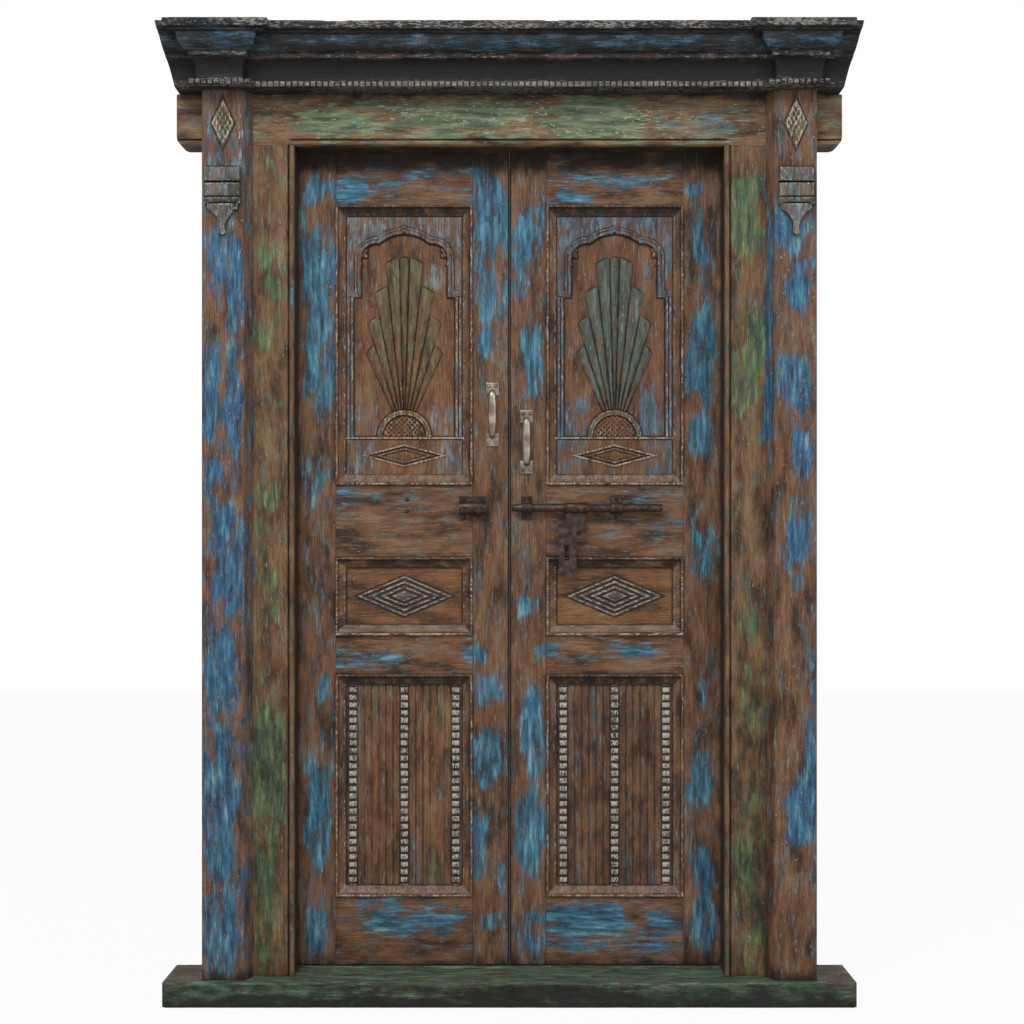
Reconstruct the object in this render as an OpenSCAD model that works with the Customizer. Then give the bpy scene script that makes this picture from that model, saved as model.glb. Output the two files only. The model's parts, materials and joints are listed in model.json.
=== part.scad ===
// Carved two-leaf door of painted hardwood in its frame, with steel hinges, handles and a sliding bolt.
// Millimetres. X runs right, Y runs back and Z up. The origin is on the floor, at mid width,
// in the plane of the frame's front face.

/* [Opening] */
// Clear width between the jambs
opening_w = 1000; // [900:10:1200]
// Clear height from the sill to the head
opening_h = 1929; // [1850:1:2200]

/* [Frame] */
// Height of the sill
sill_h = 57; // [45:1:80]
// Reach of the sill in front of the frame face
sill_reach = 62; // [45:1:90]
// Length of each sill horn past the jamb
sill_horn = 165; // [120:1:240]
// Cut across the front corners of the sill horns
sill_corner = 10; // [4:1:20]
// Depth of the jambs and the head, front to back
frame_d = 117; // [110:1:150]
// Width of each jamb
jamb_w = 130; // [120:1:160]
// Height of the head
head_h = 118; // [100:1:150]
// Length of each head horn past the jamb
head_horn = 142; // [110:1:180]
// Cut across the lower outer corner of each head horn
horn_cut = 12; // [6:1:20]
// Depth of the head horns, front to back
horn_d = 72; // [60:1:100]
// Width of the rebate that the leaves close into
rebate_w = 15; // [12:1:20]
// Depth of the stop in front of the rebate
stop_d = 81; // [70:1:85]
// Width of the bead on the inner front arris
arris_bead = 12; // [8:1:16]
// Width of the quirk beside that bead
quirk_w = 2.5; // [1.5:0.5:4]

/* [Pilasters] */
// Width of each pilaster across its front
pilaster_w = 97; // [85:1:110]
// Thickness of each pilaster
pilaster_t = 38; // [30:1:45]
// Width of the splayed inner edge of a pilaster
splay_w = 16; // [8:1:22]
// Distance from the opening to the pilaster's front face
pilaster_gap = 110; // [105:1:115]
// Half width of the carved lozenge on a pilaster
diamond_w = 27; // [20:1:36]
// Half height of the carved lozenge on a pilaster
diamond_h = 60; // [45:1:62]
// Height of the lozenge's centre below the head's top
diamond_drop = 77; // [70:1:90]
// Drop from the head's top to the corbel
corbel_drop = 178; // [170:1:240]
// Width of the corbel's blocks
corbel_w = 82; // [70:1:92]
// Projection of the corbel's blocks
corbel_out = 20; // [14:1:26]
// Height of each corbel block
block_h = 34; // [28:1:40]
// Height of the corbel's pendant
pendant_h = 71; // [55:1:90]

/* [Cornice] */
// Depth of the cornice behind the frame face
cornice_back = 60; // [40:1:70]
// Projection of the cornice at its lowest course
cornice_out = 60; // [52:1:70]
// Height of the lowest course, with the beads
course_h = 12; // [10:1:16]
// Height of the hollow
hollow_h = 45; // [35:1:60]
// Projection gained over the hollow
hollow_out = 25; // [18:1:32]
// Height of the fillet over the hollow
fillet_h = 11; // [8:1:14]
// Height of the round
round_h = 38; // [30:1:48]
// Projection gained over the round
round_out = 22; // [16:1:28]
// Height of the thin fillet under the top strip
neck_h = 7; // [5:1:10]
// Height of the top strip
strip_h = 19; // [14:1:26]
// Step forward at each fillet
fillet_step = 5; // [3:1:7]
// Spacing of the beads on the cornice
course_pitch = 14; // [11:1:18]
// Projection of those beads
course_out = 6; // [4:0.5:8]
// Step of the capitals in front of the cornice
capital_out = 24; // [16:1:30]
// Half width of a capital at its neck
capital_neck = 53; // [48:1:60]
// Half width of a capital at its lowest course
capital_foot = 70; // [62:1:78]
// Half width of a capital at its top
capital_top = 118; // [100:1:130]
// Length of the cornice past the head horns at its foot
cornice_over = -7; // [-20:1:0]
// Slope of the cornice ends, measured across at the top
end_slope = 32; // [20:1:44]

/* [Leaves] */
// Gap between the two leaves where they come closest
meeting_gap = 0.8; // [0.6:0.1:1.6]
// Easing of the front arris of each meeting edge
meeting_ease = 4; // [2:0.5:6]
// Set-back of a meeting edge at the back of the leaf, so that its front clears the other leaf
meeting_bevel = 2.2; // [1.9:0.1:3]
// Gap round a leaf inside its rebate
leaf_gap = 3; // [2:0.5:4]
// Height of the threshold under the leaves, over the sill
threshold_h = 4; // [3:0.5:8]
// Gap between the leaves and the threshold
floor_gap = 5; // [4:1:10]
// Gap between a leaf and its stop
seat_gap = 0.5; // [0.3:0.1:1]
// Width of the meeting stiles
meeting_stile_w = 87; // [75:1:100]
// Width of the hinge stiles
hinge_stile_w = 100.5; // [85:0.5:110]
// Height of the bottom rail
bottom_rail_h = 161; // [130:1:190]
// Height of the middle rail
middle_rail_h = 92; // [80:1:110]
// Height of the lock rail
lock_rail_h = 171; // [150:1:190]
// Height of the top rail
top_rail_h = 135; // [110:1:160]
// Height of the lower panel's opening
lower_panel_h = 526; // [450:1:560]
// Height of the middle panel's opening
middle_panel_h = 185; // [165:1:210]
// Length of the tenons
tenon_l = 45; // [30:1:60]
// Thickness of the tenons
tenon_t = 12; // [8:1:14]
// Shoulder above and below a tenon
tenon_shoulder = 18; // [12:1:24]
// Depth of the panel grooves
groove_d = 10; // [6:1:14]
// Width of the panel grooves
groove_w = 8; // [6:1:10]

/* [Panels] */
// Distance of the panel's face behind the leaf's face
panel_back = 11.5; // [9:0.5:14]
// Thickness of the panels
panel_t = 18; // [16:1:20]
// Width of the planted mouldings
moulding_w = 26; // [20:1:32]
// Rise of the planted mouldings in front of the leaf's face
moulding_rise = 8.5; // [5:0.5:12]
// Height of the carved band at the foot of the upper panel
band_h = 88; // [78:1:100]
// Thickness of the spandrel round the arch
spandrel_t = 3; // [2:0.5:5]
// Thickness of the carved rims
rim_t = 7; // [5:0.5:8]
// Width of the arch's rim
rim_w = 9; // [6:1:12]
// Width of the shafts beside the arch
shaft_w = 15; // [10:1:20]
// Step inward from the shafts to the arch's narrow part
arch_step = 18; // [12:1:24]
// Distance from the panel's moulding down to the arch's point
arch_drop = 37; // [28:1:50]
// Drop from the arch's point to the foot of its narrow part
arch_narrow = 153; // [130:1:180]
// Outer radius of the half disc
disc_r = 65; // [55:1:75]
// Inner radius of the half disc
disc_hole = 52; // [44:1:54]
// Gap between the arch's point and the longest ray
fan_gap = 56; // [44:1:90]
// Share of a ray's reach that is lost at each step down the fan
fan_taper = 0.18; // [0.1:0.01:0.22]
// Number of rays
ray_count = 9; // [7:2:9]
// Space between the band's lozenge and the panel's moulding
band_diamond_gap = 33; // [24:1:44]
// Half height of the lozenge on the band
band_diamond_h = 27; // [22:1:32]
// Space between the middle panel's lozenge and its moulding
middle_diamond_gap = 20; // [12:1:32]
// Half height of the middle panel's lozenge
middle_diamond_h = 49; // [40:1:52]
// Width of the bead strips
strip_w = 19; // [15:1:24]
// Spacing of the beads on the strips
bead_pitch = 18; // [15:1:24]
// Height of the beads in front of the panel
bead_out = 8; // [6:0.5:10]
// Space between the outer bead strips and the moulding
strip_margin = 4.5; // [2:0.5:10]
// Spacing of the reeds cut between the strips
reed_pitch = 17; // [14:1:24]
// Depth of the cuts between reeds
reed_cut = 3.5; // [2:0.5:5]

/* [Fittings] */
// Height of the hinges
hinge_h = 100; // [80:1:120]
// Distance from the leaf's foot to the middle of the lowest hinge
hinge_up = 190; // [120:1:260]
// Distance from the leaf's top to the middle of the highest hinge
hinge_down = 200; // [120:1:260]
// Width of a hinge plate
hinge_w = 44; // [36:1:52]
// Thickness of a hinge plate
hinge_t = 3; // [2:0.5:4]
// Radius of the hinge barrels
barrel_r = 5.8; // [5:0.1:6.5]
// Radius of the hinge pins
pin_r = 3; // [2.5:0.1:3.5]
// Radial clearance of a pin or a rod in its bore
running_gap = 0.05; // [0.03:0.01:0.1]
// Gap between neighbouring knuckles
knuckle_gap = 0.5; // [0.3:0.1:1]
// Height of the pull handles
handle_h = 150; // [130:1:170]
// Width of a handle's pads
handle_w = 30; // [26:1:36]
// Height of a handle's pads
pad_h = 30; // [26:1:36]
// Thickness of a handle's pads
pad_t = 3; // [2:0.5:4]
// Radius of a handle's grip
grip_r = 6; // [5:0.5:7]
// Distance from the leaf's face to the middle of the grip
grip_out = 32; // [28:1:40]
// Distance from the leaf's meeting edge to the handles
handle_in = 40; // [30:1:46]
// Height of the left handle above the lock rail
left_handle_up = 92; // [80:1:120]
// Height of the right handle above the lock rail
right_handle_up = 27; // [20:1:60]
// Radius of the screw heads and nail heads
head_r = 4.5; // [3.5:0.5:5.5]
// Radius of the screw shanks
shank_r = 2; // [1.5:0.1:2.5]

/* [Bolt] */
// Radius of the bolt's rod
rod_r = 9; // [7:0.5:10]
// Length of the rod
rod_l = 356; // [320:1:400]
// Space between the rod and the leaf's face
rod_off = 10; // [8:0.5:14]
// Height of the rod above the foot of the lock rail
rod_up = 116; // [90:1:130]
// Distance from the meeting edge to the tip of the drawn rod
rod_in = 4.5; // [3:0.5:8]
// Wall of the guides, the keeper and the hasp's collar
strap_t = 3.5; // [3:0.5:5]
// Width of a guide along the rod
guide_w = 26; // [20:1:32]
// Distance from the meeting edge to the middle of the first guide
guide_in = 40; // [30:1:50]
// Distance between the two guides
guide_span = 212; // [180:1:230]
// Height of a guide's feet above and below the rod
foot_h = 28; // [26:1:34]
// Length of the keeper
keeper_l = 64; // [50:1:72]
// Distance from the meeting edge to the keeper
keeper_in = 54; // [40:1:60]
// Clearance of the rod in the keeper
keeper_gap = 3; // [2:0.1:3.5]
// Length of the hasp's collar
collar_l = 46; // [36:1:54]
// Distance from the rod's tip to the collar
collar_in = 128; // [110:1:140]
// Thickness of the hasp's plate
hasp_t = 5; // [4:0.5:7]
// Length of the hasp below the rod
hasp_l = 164; // [130:1:180]
// Width of the hasp's lower part
hasp_w = 42; // [34:1:50]
// Length of the hasp's slot
slot_l = 36; // [28:1:44]
// Width of the hasp's slot
slot_w = 10; // [8:1:12]

/* [Hidden] */
$fn = 48;

// Side of the door that a mirrored piece is on
LEFT = -1;
RIGHT = 1;
// Overlap that lets one solid cut cleanly through another
cut = 1;
// Depth to which carving is rooted in its board
root = 2;
// Share of its angle that a ray of the fan fills, so that a thin quirk parts it from the next
ray_share = 0.95;
// Share of the arch's half width that the fan's outer rays reach
fan_reach = 0.88;
// Power by which the rays widen away from the middle
fan_swell = 1.25;
// Widening of a capital over its hollow and over its round
capital_hollow = 8;
capital_round = 24;
// Drops of the arch's shoulder, side lobes, crown and tip from its point
shoulder_drop = 78;
lobe_drop = 63;
crown_drop = 92;
tip_drop = 8;
// Radii of the lobes and the crown and half width of the tip, as shares of the arch's neck
lobe_share = 0.36;
crown_share = 0.86;
tip_share = 0.12;
// Rounding of the corbel's edges, its groove and the height of its moulding
corbel_ease = 3;
corbel_groove = 4;
corbel_foot = 14;
// Half width of the pendant at its waist and at the drop
pendant_waist = 7;
pendant_drop = 9;

// Heights of the frame
opening_top = sill_h + opening_h;
head_top = opening_top + head_h;
// Half lengths of the frame members
half_opening = opening_w / 2;
jamb_x = half_opening + jamb_w;
sill_half = jamb_x + sill_horn;
head_half = jamb_x + head_horn;
// Places of the pilasters
pilaster_x0 = half_opening + pilaster_gap;
pilaster_x1 = pilaster_x0 + pilaster_w;
pilaster_mid = (pilaster_x0 + pilaster_x1) / 2;

// Outer sizes of a leaf
leaf_x0 = meeting_gap / 2;
leaf_x1 = half_opening + rebate_w - leaf_gap;
leaf_z0 = sill_h + threshold_h + floor_gap;
leaf_z1 = opening_top + rebate_w - leaf_gap;
leaf_front = stop_d + seat_gap;
leaf_t = frame_d - leaf_front;
// Width and middle of the panel openings
panel_x0 = leaf_x0 + meeting_stile_w;
panel_x1 = leaf_x1 - hinge_stile_w;
panel_w = panel_x1 - panel_x0;
panel_mid = (panel_x0 + panel_x1) / 2;
// Heights of the panel openings
lower_z0 = leaf_z0 + bottom_rail_h;
lower_z1 = lower_z0 + lower_panel_h;
middle_z0 = lower_z1 + middle_rail_h;
middle_z1 = middle_z0 + middle_panel_h;
upper_z0 = middle_z1 + lock_rail_h;
upper_z1 = leaf_z1 - top_rail_h;
// Faces of a panel and of its tongue
panel_front = leaf_front + panel_back;
tongue_front = panel_front + (panel_t - groove_w) / 2;
field_w = panel_w - 2 * moulding_w;
// Half widths that follow the panel's field
arch_half = field_w / 2 - shaft_w;
arch_neck = arch_half - arch_step;
band_diamond_w = field_w / 2 - band_diamond_gap;
middle_diamond_w = field_w / 2 - middle_diamond_gap;
strip_gap = (field_w - strip_w) / 2 - strip_margin;
// Heights of the upper panel's carving
band_z0 = upper_z0 + moulding_w;
band_z1 = band_z0 + band_h;
arch_top = upper_z1 - moulding_w - arch_drop;
arch_foot = arch_top - arch_narrow;
fan_r = arch_top - fan_gap - band_z1;

// Hinge axis and hinge heights
hinge_x = half_opening + rebate_w - 1;
hinge_y = frame_d + 6;
hinge_zs = [leaf_z0 + hinge_up, (leaf_z0 + leaf_z1) / 2, leaf_z1 - hinge_down];
knuckle_h = hinge_h / 3;
// Places of the bolt
rod_y = leaf_front - rod_off - rod_r;
rod_z = middle_z1 + rod_up;
rod_x0 = leaf_x0 + rod_in;
collar_x0 = rod_x0 + collar_in;
guide_xs = [leaf_x0 + guide_in, leaf_x0 + guide_in + guide_span];

// Colours as the photo shows them
teak = "#6b4a35";
blue_paint = "#3a6f9c";
green_paint = "#466a55";
dark_wood = "#3a2c27";
carved_wood = "#5f5a44";
iron = "#3a302c";
nickel = "#a39c90";

// Places its children on the right side, or mirrored on the left
module on_side(side) mirror([side < 0 ? 1 : 0, 0, 0]) children();

// A box from its lowest to its highest corner
module block(low, high) translate(low) cube(high - low);

// Extrudes a plan in Y and Z along X, from x0 to x1
module along_x(x0, x1) translate([x0, 0, 0]) rotate([90, 0, 90]) linear_extrude(x1 - x0) children();

// Extrudes an elevation in X and Z along Y, from y0 to y1
module along_y(y0, y1) translate([0, y1, 0]) rotate([90, 0, 0]) linear_extrude(y1 - y0) children();

// A round bar along X
module bar_x(x0, x1, r) translate([x0, 0, 0]) rotate([0, 90, 0]) cylinder(h = x1 - x0, r = r);

// A quarter ellipse that starts straight up and ends level, as a hollow does
function hollow(p, z, out, h, n = 8) =
    [for (i = [0:n]) [p + out * (1 - cos(90 * i / n)), z + h * sin(90 * i / n)]];

// A quarter ellipse that starts level and ends straight up, as a round does
function rounded(p, z, out, h, n = 8) =
    [for (i = [0:n]) [p + out * sin(90 * i / n), z + h * (1 - cos(90 * i / n))]];

// Frame

module sill() color(green_paint) {
    linear_extrude(sill_h)
        polygon([
            [-sill_half, frame_d],
            [-sill_half, sill_corner - sill_reach],
            [sill_corner - sill_half, -sill_reach],
            [sill_half - sill_corner, -sill_reach],
            [sill_half, sill_corner - sill_reach],
            [sill_half, frame_d]]);
    block([-half_opening, stop_d, sill_h - cut], [half_opening, frame_d, sill_h + threshold_h]);
}

// Section of a jamb or the head: a bead and quirk on the front arris, a rebate behind the stop
module beaded_section(width, depth) {
    bead_r = arris_bead / 2;
    difference() {
        translate([0, bead_r]) square([width, depth - bead_r]);
        translate([-cut, stop_d]) square([rebate_w + cut, depth - stop_d + cut]);
    }
    translate([bead_r, bead_r]) circle(bead_r);
    translate([arris_bead + quirk_w, 0]) square([width - arris_bead - quirk_w, bead_r + cut]);
}

module jamb(side) color(teak)
    on_side(side)
    translate([half_opening, 0, sill_h])
    linear_extrude(opening_h)
    beaded_section(jamb_w, frame_d);

// Mitre line cut across each lower corner of the head
module mitre_cut(side)
    on_side(side)
    translate([half_opening, 0, opening_top])
    rotate([0, -45, 0])
    along_x(arris_bead, arris_bead + 40)
    polygon([[-cut, -2.4], [-cut, 2.4], [1.4, 0]]);

module head() color(teak)
    difference() {
        along_x(-head_half, head_half)
            translate([0, opening_top])
            mirror([1, -1])
            beaded_section(head_h, frame_d);
        for (side = [LEFT, RIGHT]) {
            mitre_cut(side);
            on_side(side)
                along_y(-cut, frame_d + cut)
                polygon([
                    [head_half - horn_cut - cut, opening_top - cut],
                    [head_half + cut, opening_top - cut],
                    [head_half + cut, opening_top + horn_cut + cut]]);
            on_side(side)
                block([jamb_x, horn_d, opening_top - cut], [head_half + cut, frame_d + cut, head_top + cut]);
            on_side(side)
                block([leaf_x1 + leaf_gap, stop_d, opening_top - cut],
                    [jamb_x + cut, frame_d + cut, opening_top]);
        }
    }

// Lozenge of nested steps, standing forward from the plane y = 0
module lozenge(half_w, half_h, steps, rise) {
    for (i = [0:len(steps) - 1])
        along_y(-rise * (i + 1), root)
        rhomb(half_w * steps[i], half_h * steps[i]);
}

module rhomb(half_w, half_h)
    polygon([[-half_w, 0], [0, -half_h], [half_w, 0], [0, half_h]]);

// Outline of a lozenge with a sunk field
module rhomb_ring(half_w, half_h, width, rise)
    along_y(-rise, root)
    difference() {
        rhomb(half_w, half_h);
        rhomb(half_w - width * half_w / half_h, half_h - width);
    }

module pilaster(side) color(blue_paint)
    on_side(side) {
        translate([0, 0, sill_h])
            linear_extrude(head_top - sill_h)
            polygon([
                [pilaster_x0 - splay_w, 0],
                [pilaster_x0, -pilaster_t],
                [pilaster_x1, -pilaster_t],
                [pilaster_x1, 0]]);
        translate([pilaster_mid, -pilaster_t, head_top - diamond_drop]) {
            rhomb_ring(diamond_w, diamond_h, 10, 4);
            lozenge(diamond_w * 0.55, diamond_h * 0.55, [1, 0.5], 2.5);
        }
    }

// Side outline of the corbel, forward of the pilaster, from its top down
function corbel_side(groove) = let (z1 = -block_h, z2 = -block_h - groove, z3 = -2 * block_h - groove) [
    [0, 0],
    [corbel_out - corbel_ease, 0],
    [corbel_out, -corbel_ease],
    [corbel_out, z1 + corbel_ease],
    [corbel_out - corbel_ease, z1],
    [corbel_out / 2, z1],
    [corbel_out / 2, z2],
    [corbel_out - 2 * corbel_ease, z2],
    [corbel_out - corbel_ease, z2 - corbel_ease],
    [corbel_out - corbel_ease, z3],
    [corbel_out, z3],
    [corbel_out, z3 - corbel_foot / 3],
    [corbel_out / 2, z3 - corbel_foot],
    [0, z3 - corbel_foot]];

// Half outline of the pendant: a hollow taper to a small drop
function pendant_edge(w, h) = [
    [0, 0],
    [w / 2, 0],
    [w / 2, -h * 0.14],
    for (p = hollow(0, 0, 1, 1)) [w / 2 - (w / 2 - pendant_waist) * p[1], -h * (0.14 + 0.6 * p[0])],
    [pendant_drop, -h * 0.78],
    [pendant_waist, -h * 0.92],
    [0, -h]];

module corbel(side) color(blue_paint)
    on_side(side)
    translate([pilaster_mid, -pilaster_t, head_top - corbel_drop]) {
        foot = -2 * block_h - corbel_groove - corbel_foot;
        along_x(-corbel_w / 2, corbel_w / 2)
            mirror([1, 0])
            polygon(corbel_side(corbel_groove));
        intersection() {
            along_y(-corbel_out, 0)
                for (flip = [0, 1])
                mirror([flip, 0])
                translate([0, foot])
                polygon(pendant_edge(corbel_w - 10, pendant_h));
            along_x(-corbel_w, corbel_w)
                translate([0, foot])
                polygon([
                    [0, 0],
                    [corbel_ease - corbel_out, 0],
                    [2.5 * corbel_ease - corbel_out, -pendant_h],
                    [0, -pendant_h]]);
        }
    }

// Cornice

// Side outline of the cornice above its soffit, as [projection, height] from the foot up
function cornice_front(foot, hollow_p, round_p, top_p) = let (
    z1 = course_h,
    z2 = z1 + hollow_h,
    z3 = z2 + fillet_h,
    z4 = z3 + round_h,
    z5 = z4 + neck_h) [
    [foot, 0],
    [foot, z1],
    for (p = hollow(foot, z1, hollow_p, hollow_h)) p,
    [foot + hollow_p + fillet_step, z2],
    [foot + hollow_p + fillet_step, z3],
    for (p = rounded(foot + hollow_p + fillet_step, z3, round_p, round_h)) p,
    [top_p - fillet_step * 2, z4],
    [top_p - fillet_step * 2, z5],
    [top_p, z5],
    [top_p, z5 + strip_h]];

cornice_h = course_h + hollow_h + fillet_h + round_h + neck_h + strip_h;
run_top = cornice_out + hollow_out + round_out + 4 * fillet_step;
run_half = head_half + cornice_over;

// The cornice's side outline, stepped forward
module cornice_section(forward)
    translate([0, head_top])
    mirror([1, 0])
    polygon(concat(
        [[-cornice_back, 0]],
        cornice_front(cornice_out + forward, hollow_out, round_out, run_top + forward),
        [[-cornice_back, cornice_h]]));

module cornice_run()
    intersection() {
        along_x(-run_half - end_slope, run_half + end_slope) cornice_section(0);
        along_y(-run_top - cut, cornice_back + cut)
            translate([0, head_top])
            polygon([
                [-run_half, 0],
                [run_half, 0],
                [run_half + end_slope, cornice_h],
                [-run_half - end_slope, cornice_h]]);
    }

module cornice() color(dark_wood) cornice_run();

// A row of half-round beads on a thin strip along X, standing forward from y = 0
module bead_row(length, pitch, height, out) {
    count = floor(length / pitch);
    bead_r = pitch * 0.46;
    linear_extrude(height)
        intersection() {
            translate([-length / 2, -out]) square([length, out]);
            union() {
                translate([-length / 2, -out / 3]) square([length, out]);
                for (i = [0:count - 1])
                    translate([(i - (count - 1) / 2) * pitch, bead_r - out]) circle(bead_r);
            }
        }
}

// The beads of the run fill the length between the capitals
module cornice_beads() color(nickel)
    translate([0, -cornice_out, head_top])
    bead_row(2 * (pilaster_mid - capital_foot) - course_pitch, course_pitch, course_h, course_out);

// Half outline of a capital from the front, its lowest course wider than the neck above
capital_curve = cornice_front(capital_neck, capital_hollow, capital_round, capital_top);
capital_half = concat(
    [[capital_foot, 0], [capital_foot, course_h]],
    [for (i = [1:len(capital_curve) - 1]) capital_curve[i]]);

module capital(side) color(dark_wood)
    on_side(side)
    translate([pilaster_mid, 0, 0]) {
        difference() {
            intersection() {
                along_x(-capital_top - cut, capital_top + cut) cornice_section(capital_out);
                along_y(-run_top - capital_out - cut, 0)
                    translate([0, head_top])
                    for (flip = [0, 1])
                    mirror([flip, 0])
                    polygon(concat([[0, 0]], capital_half, [[0, cornice_h]]));
            }
            translate([-pilaster_mid, 0, 0]) cornice_run();
        }
        translate([0, -cornice_out - capital_out, head_top])
            bead_row(2 * capital_foot, course_pitch, course_h, course_out);
    }

// Leaves

// Recesses that the rails' tenons and the panels' tongues enter, on the edge x = 0 of a stile
module stile_recesses() {
    for (z = [[leaf_z0, lower_z0], [lower_z1, middle_z0], [middle_z1, upper_z0], [upper_z1, leaf_z1]])
        tenon(z[0], z[1]);
    for (z = [[lower_z0, lower_z1], [middle_z0, middle_z1], [upper_z0, upper_z1]])
        block([0, tongue_front, z[0]], [groove_d, tongue_front + groove_w, z[1]]);
}

// A tenon of the rail between two heights, standing out along X from x = 0
module tenon(z0, z1)
    block([0, leaf_front + (leaf_t - tenon_t) / 2, z0 + tenon_shoulder],
        [tenon_l, leaf_front + (leaf_t + tenon_t) / 2, z1 - tenon_shoulder]);

module hinge_stile(side) color(blue_paint)
    on_side(side)
    difference() {
        block([panel_x1, leaf_front, leaf_z0], [leaf_x1, frame_d, leaf_z1]);
        translate([panel_x1, 0, 0]) stile_recesses();
    }

module meeting_stile(side) color(blue_paint)
    on_side(side)
    difference() {
        translate([0, 0, leaf_z0])
            linear_extrude(leaf_z1 - leaf_z0)
            polygon([
                [leaf_x0 + meeting_ease, leaf_front],
                [leaf_x0, leaf_front + meeting_ease],
                [leaf_x0 + meeting_bevel, frame_d],
                [panel_x0, frame_d],
                [panel_x0, leaf_front]]);
        translate([panel_x0, 0, 0]) mirror([1, 0, 0]) stile_recesses();
    }

// A rail between two heights, grooved on the edges that hold a panel
module rail(side, z0, z1, groove_below, groove_above) color(teak)
    on_side(side)
    difference() {
        union() {
            block([panel_x0, leaf_front, z0], [panel_x1, frame_d, z1]);
            translate([panel_x1, 0, 0]) tenon(z0, z1);
            translate([panel_x0, 0, 0]) mirror([1, 0, 0]) tenon(z0, z1);
        }
        if (groove_below)
            block([panel_x0 - cut, tongue_front, z0 - cut],
                [panel_x1 + cut, tongue_front + groove_w, z0 + groove_d]);
        if (groove_above)
            block([panel_x0 - cut, tongue_front, z1 - groove_d],
                [panel_x1 + cut, tongue_front + groove_w, z1 + cut]);
    }

// A panel board with a tongue all round
module panel_board(z0, z1) {
    block([panel_x0, panel_front, z0], [panel_x1, panel_front + panel_t, z1]);
    block([panel_x0 - groove_d, tongue_front, z0], [panel_x1 + groove_d, tongue_front + groove_w, z1]);
    block([panel_x0, tongue_front, z0 - groove_d], [panel_x1, tongue_front + groove_w, z1 + groove_d]);
}

// Opening of the cusped arch, from the band up, grown by a margin
module arch_2d(margin) {
    lobe_r = arch_neck * lobe_share;
    translate([-arch_neck - margin, arch_foot - margin])
        square([2 * (arch_neck + margin), arch_narrow - shoulder_drop + margin]);
    for (flip = [-1, 1])
        translate([flip * (arch_neck - lobe_r), arch_top - lobe_drop]) circle(lobe_r + margin);
    translate([0, arch_top - crown_drop]) circle(arch_neck * crown_share + margin);
    polygon([
        [-arch_neck * tip_share, arch_top - tip_drop],
        [0, arch_top + margin * 1.4],
        [arch_neck * tip_share, arch_top - tip_drop]]);
}

// The wider part of the arch between the two shafts
module arch_foot_2d(margin)
    translate([-arch_half - margin, band_z1])
    square([2 * (arch_half + margin), arch_foot - band_z1]);

// One ridged ray of the fan, from the half disc out to a slanting end, rooted in the board
module ray(middle, width, length) {
    half = width * ray_share / 2;
    edges = [middle - half, middle + half];
    slant = 14;
    inner = disc_r + 1;
    far = length - slant * abs(middle) / (abs(middle) + 1);
    function at(angle, reach, depth) = [reach * sin(angle), depth, reach * cos(angle)];
    function reach(angle) = abs(angle) > abs(middle) ? far - slant : far;
    points = [
        for (depth = [root, 0]) each [
            for (a = edges) at(a, inner, depth),
            for (a = edges) at(a, reach(a), depth)],
        at(middle, inner, -rim_t),
        at(middle, far - slant, -rim_t)];
    base = [[0, 1, 3], [0, 3, 2]];
    walls = [
        for (w = [[1, 0], [0, 2], [2, 3], [3, 1]])
            each [[w[0], w[1], w[1] + 4], [w[0], w[1] + 4, w[0] + 4]]];
    ends = [[4, 8, 5], [6, 7, 9]];
    slopes = [[4, 6, 9], [4, 9, 8], [5, 8, 9], [5, 9, 7]];
    polyhedron(points, concat(base, walls, ends, slopes));
}

// Length of a ray by its place from the middle of the fan
function ray_length(i) = disc_r + (fan_r - disc_r) * (1 - fan_taper * max(0, abs(i) - 1));

// Half angle of the fan, so that its shortest rays stay inside the shafts
fan_angle = atan2(arch_half * fan_reach, ray_length((ray_count - 1) / 2));

// Outer edge of a ray by its place from the middle, the outer rays wider than the inner ones
function ray_edge(i) = fan_angle * pow((i + 0.5) / (ray_count / 2), fan_swell);

module upper_panel(side) color(carved_wood)
    on_side(side) {
        panel_board(upper_z0, upper_z1);
        translate([panel_mid, panel_front, 0]) {
            along_y(-spandrel_t, root)
                difference() {
                    translate([-field_w / 2, band_z0]) square([field_w, upper_z1 - moulding_w - band_z0]);
                    arch_2d(0);
                    arch_foot_2d(0);
                }
            along_y(-rim_t, root)
                intersection() {
                    difference() {
                        arch_2d(rim_w);
                        arch_2d(0);
                    }
                    translate([-arch_half, arch_foot])
                        square([2 * arch_half, arch_top - arch_foot + 2 * rim_w]);
                }
            for (flip = [-1, 1])
                block([flip * arch_half + min(0, flip * rim_w), -rim_t, band_z1],
                    [flip * arch_half + max(0, flip * rim_w), root, arch_foot]);
            along_y(-rim_t, root)
                intersection() {
                    translate([0, band_z1])
                        difference() {
                            circle(disc_r);
                            circle(disc_hole);
                        }
                    translate([-disc_r, band_z1]) square([2 * disc_r, disc_r]);
                }
            along_y(-spandrel_t, root)
                intersection() {
                    translate([0, band_z1]) circle(disc_hole);
                    translate([-disc_r, band_z1]) square([2 * disc_r, disc_r]);
                }
            translate([0, 0, band_z1])
                for (i = [-(ray_count - 1) / 2:(ray_count - 1) / 2]) {
                    outer = ray_edge(abs(i));
                    inner = i == 0 ? -outer : ray_edge(abs(i) - 1);
                    ray(sign(i) * (outer + inner) / 2, outer - inner, ray_length(i));
                }
            translate([0, -spandrel_t, (band_z0 + band_z1) / 2]) {
                rhomb_ring(band_diamond_w, band_diamond_h, 7, 3);
                lozenge(band_diamond_w * 0.5, band_diamond_h * 0.5, [1], 3);
            }
            for (z = [band_z0, band_z1 - 8])
                block([-field_w / 2, -spandrel_t - 2, z], [field_w / 2, 0, z + 8]);
        }
    }

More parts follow.
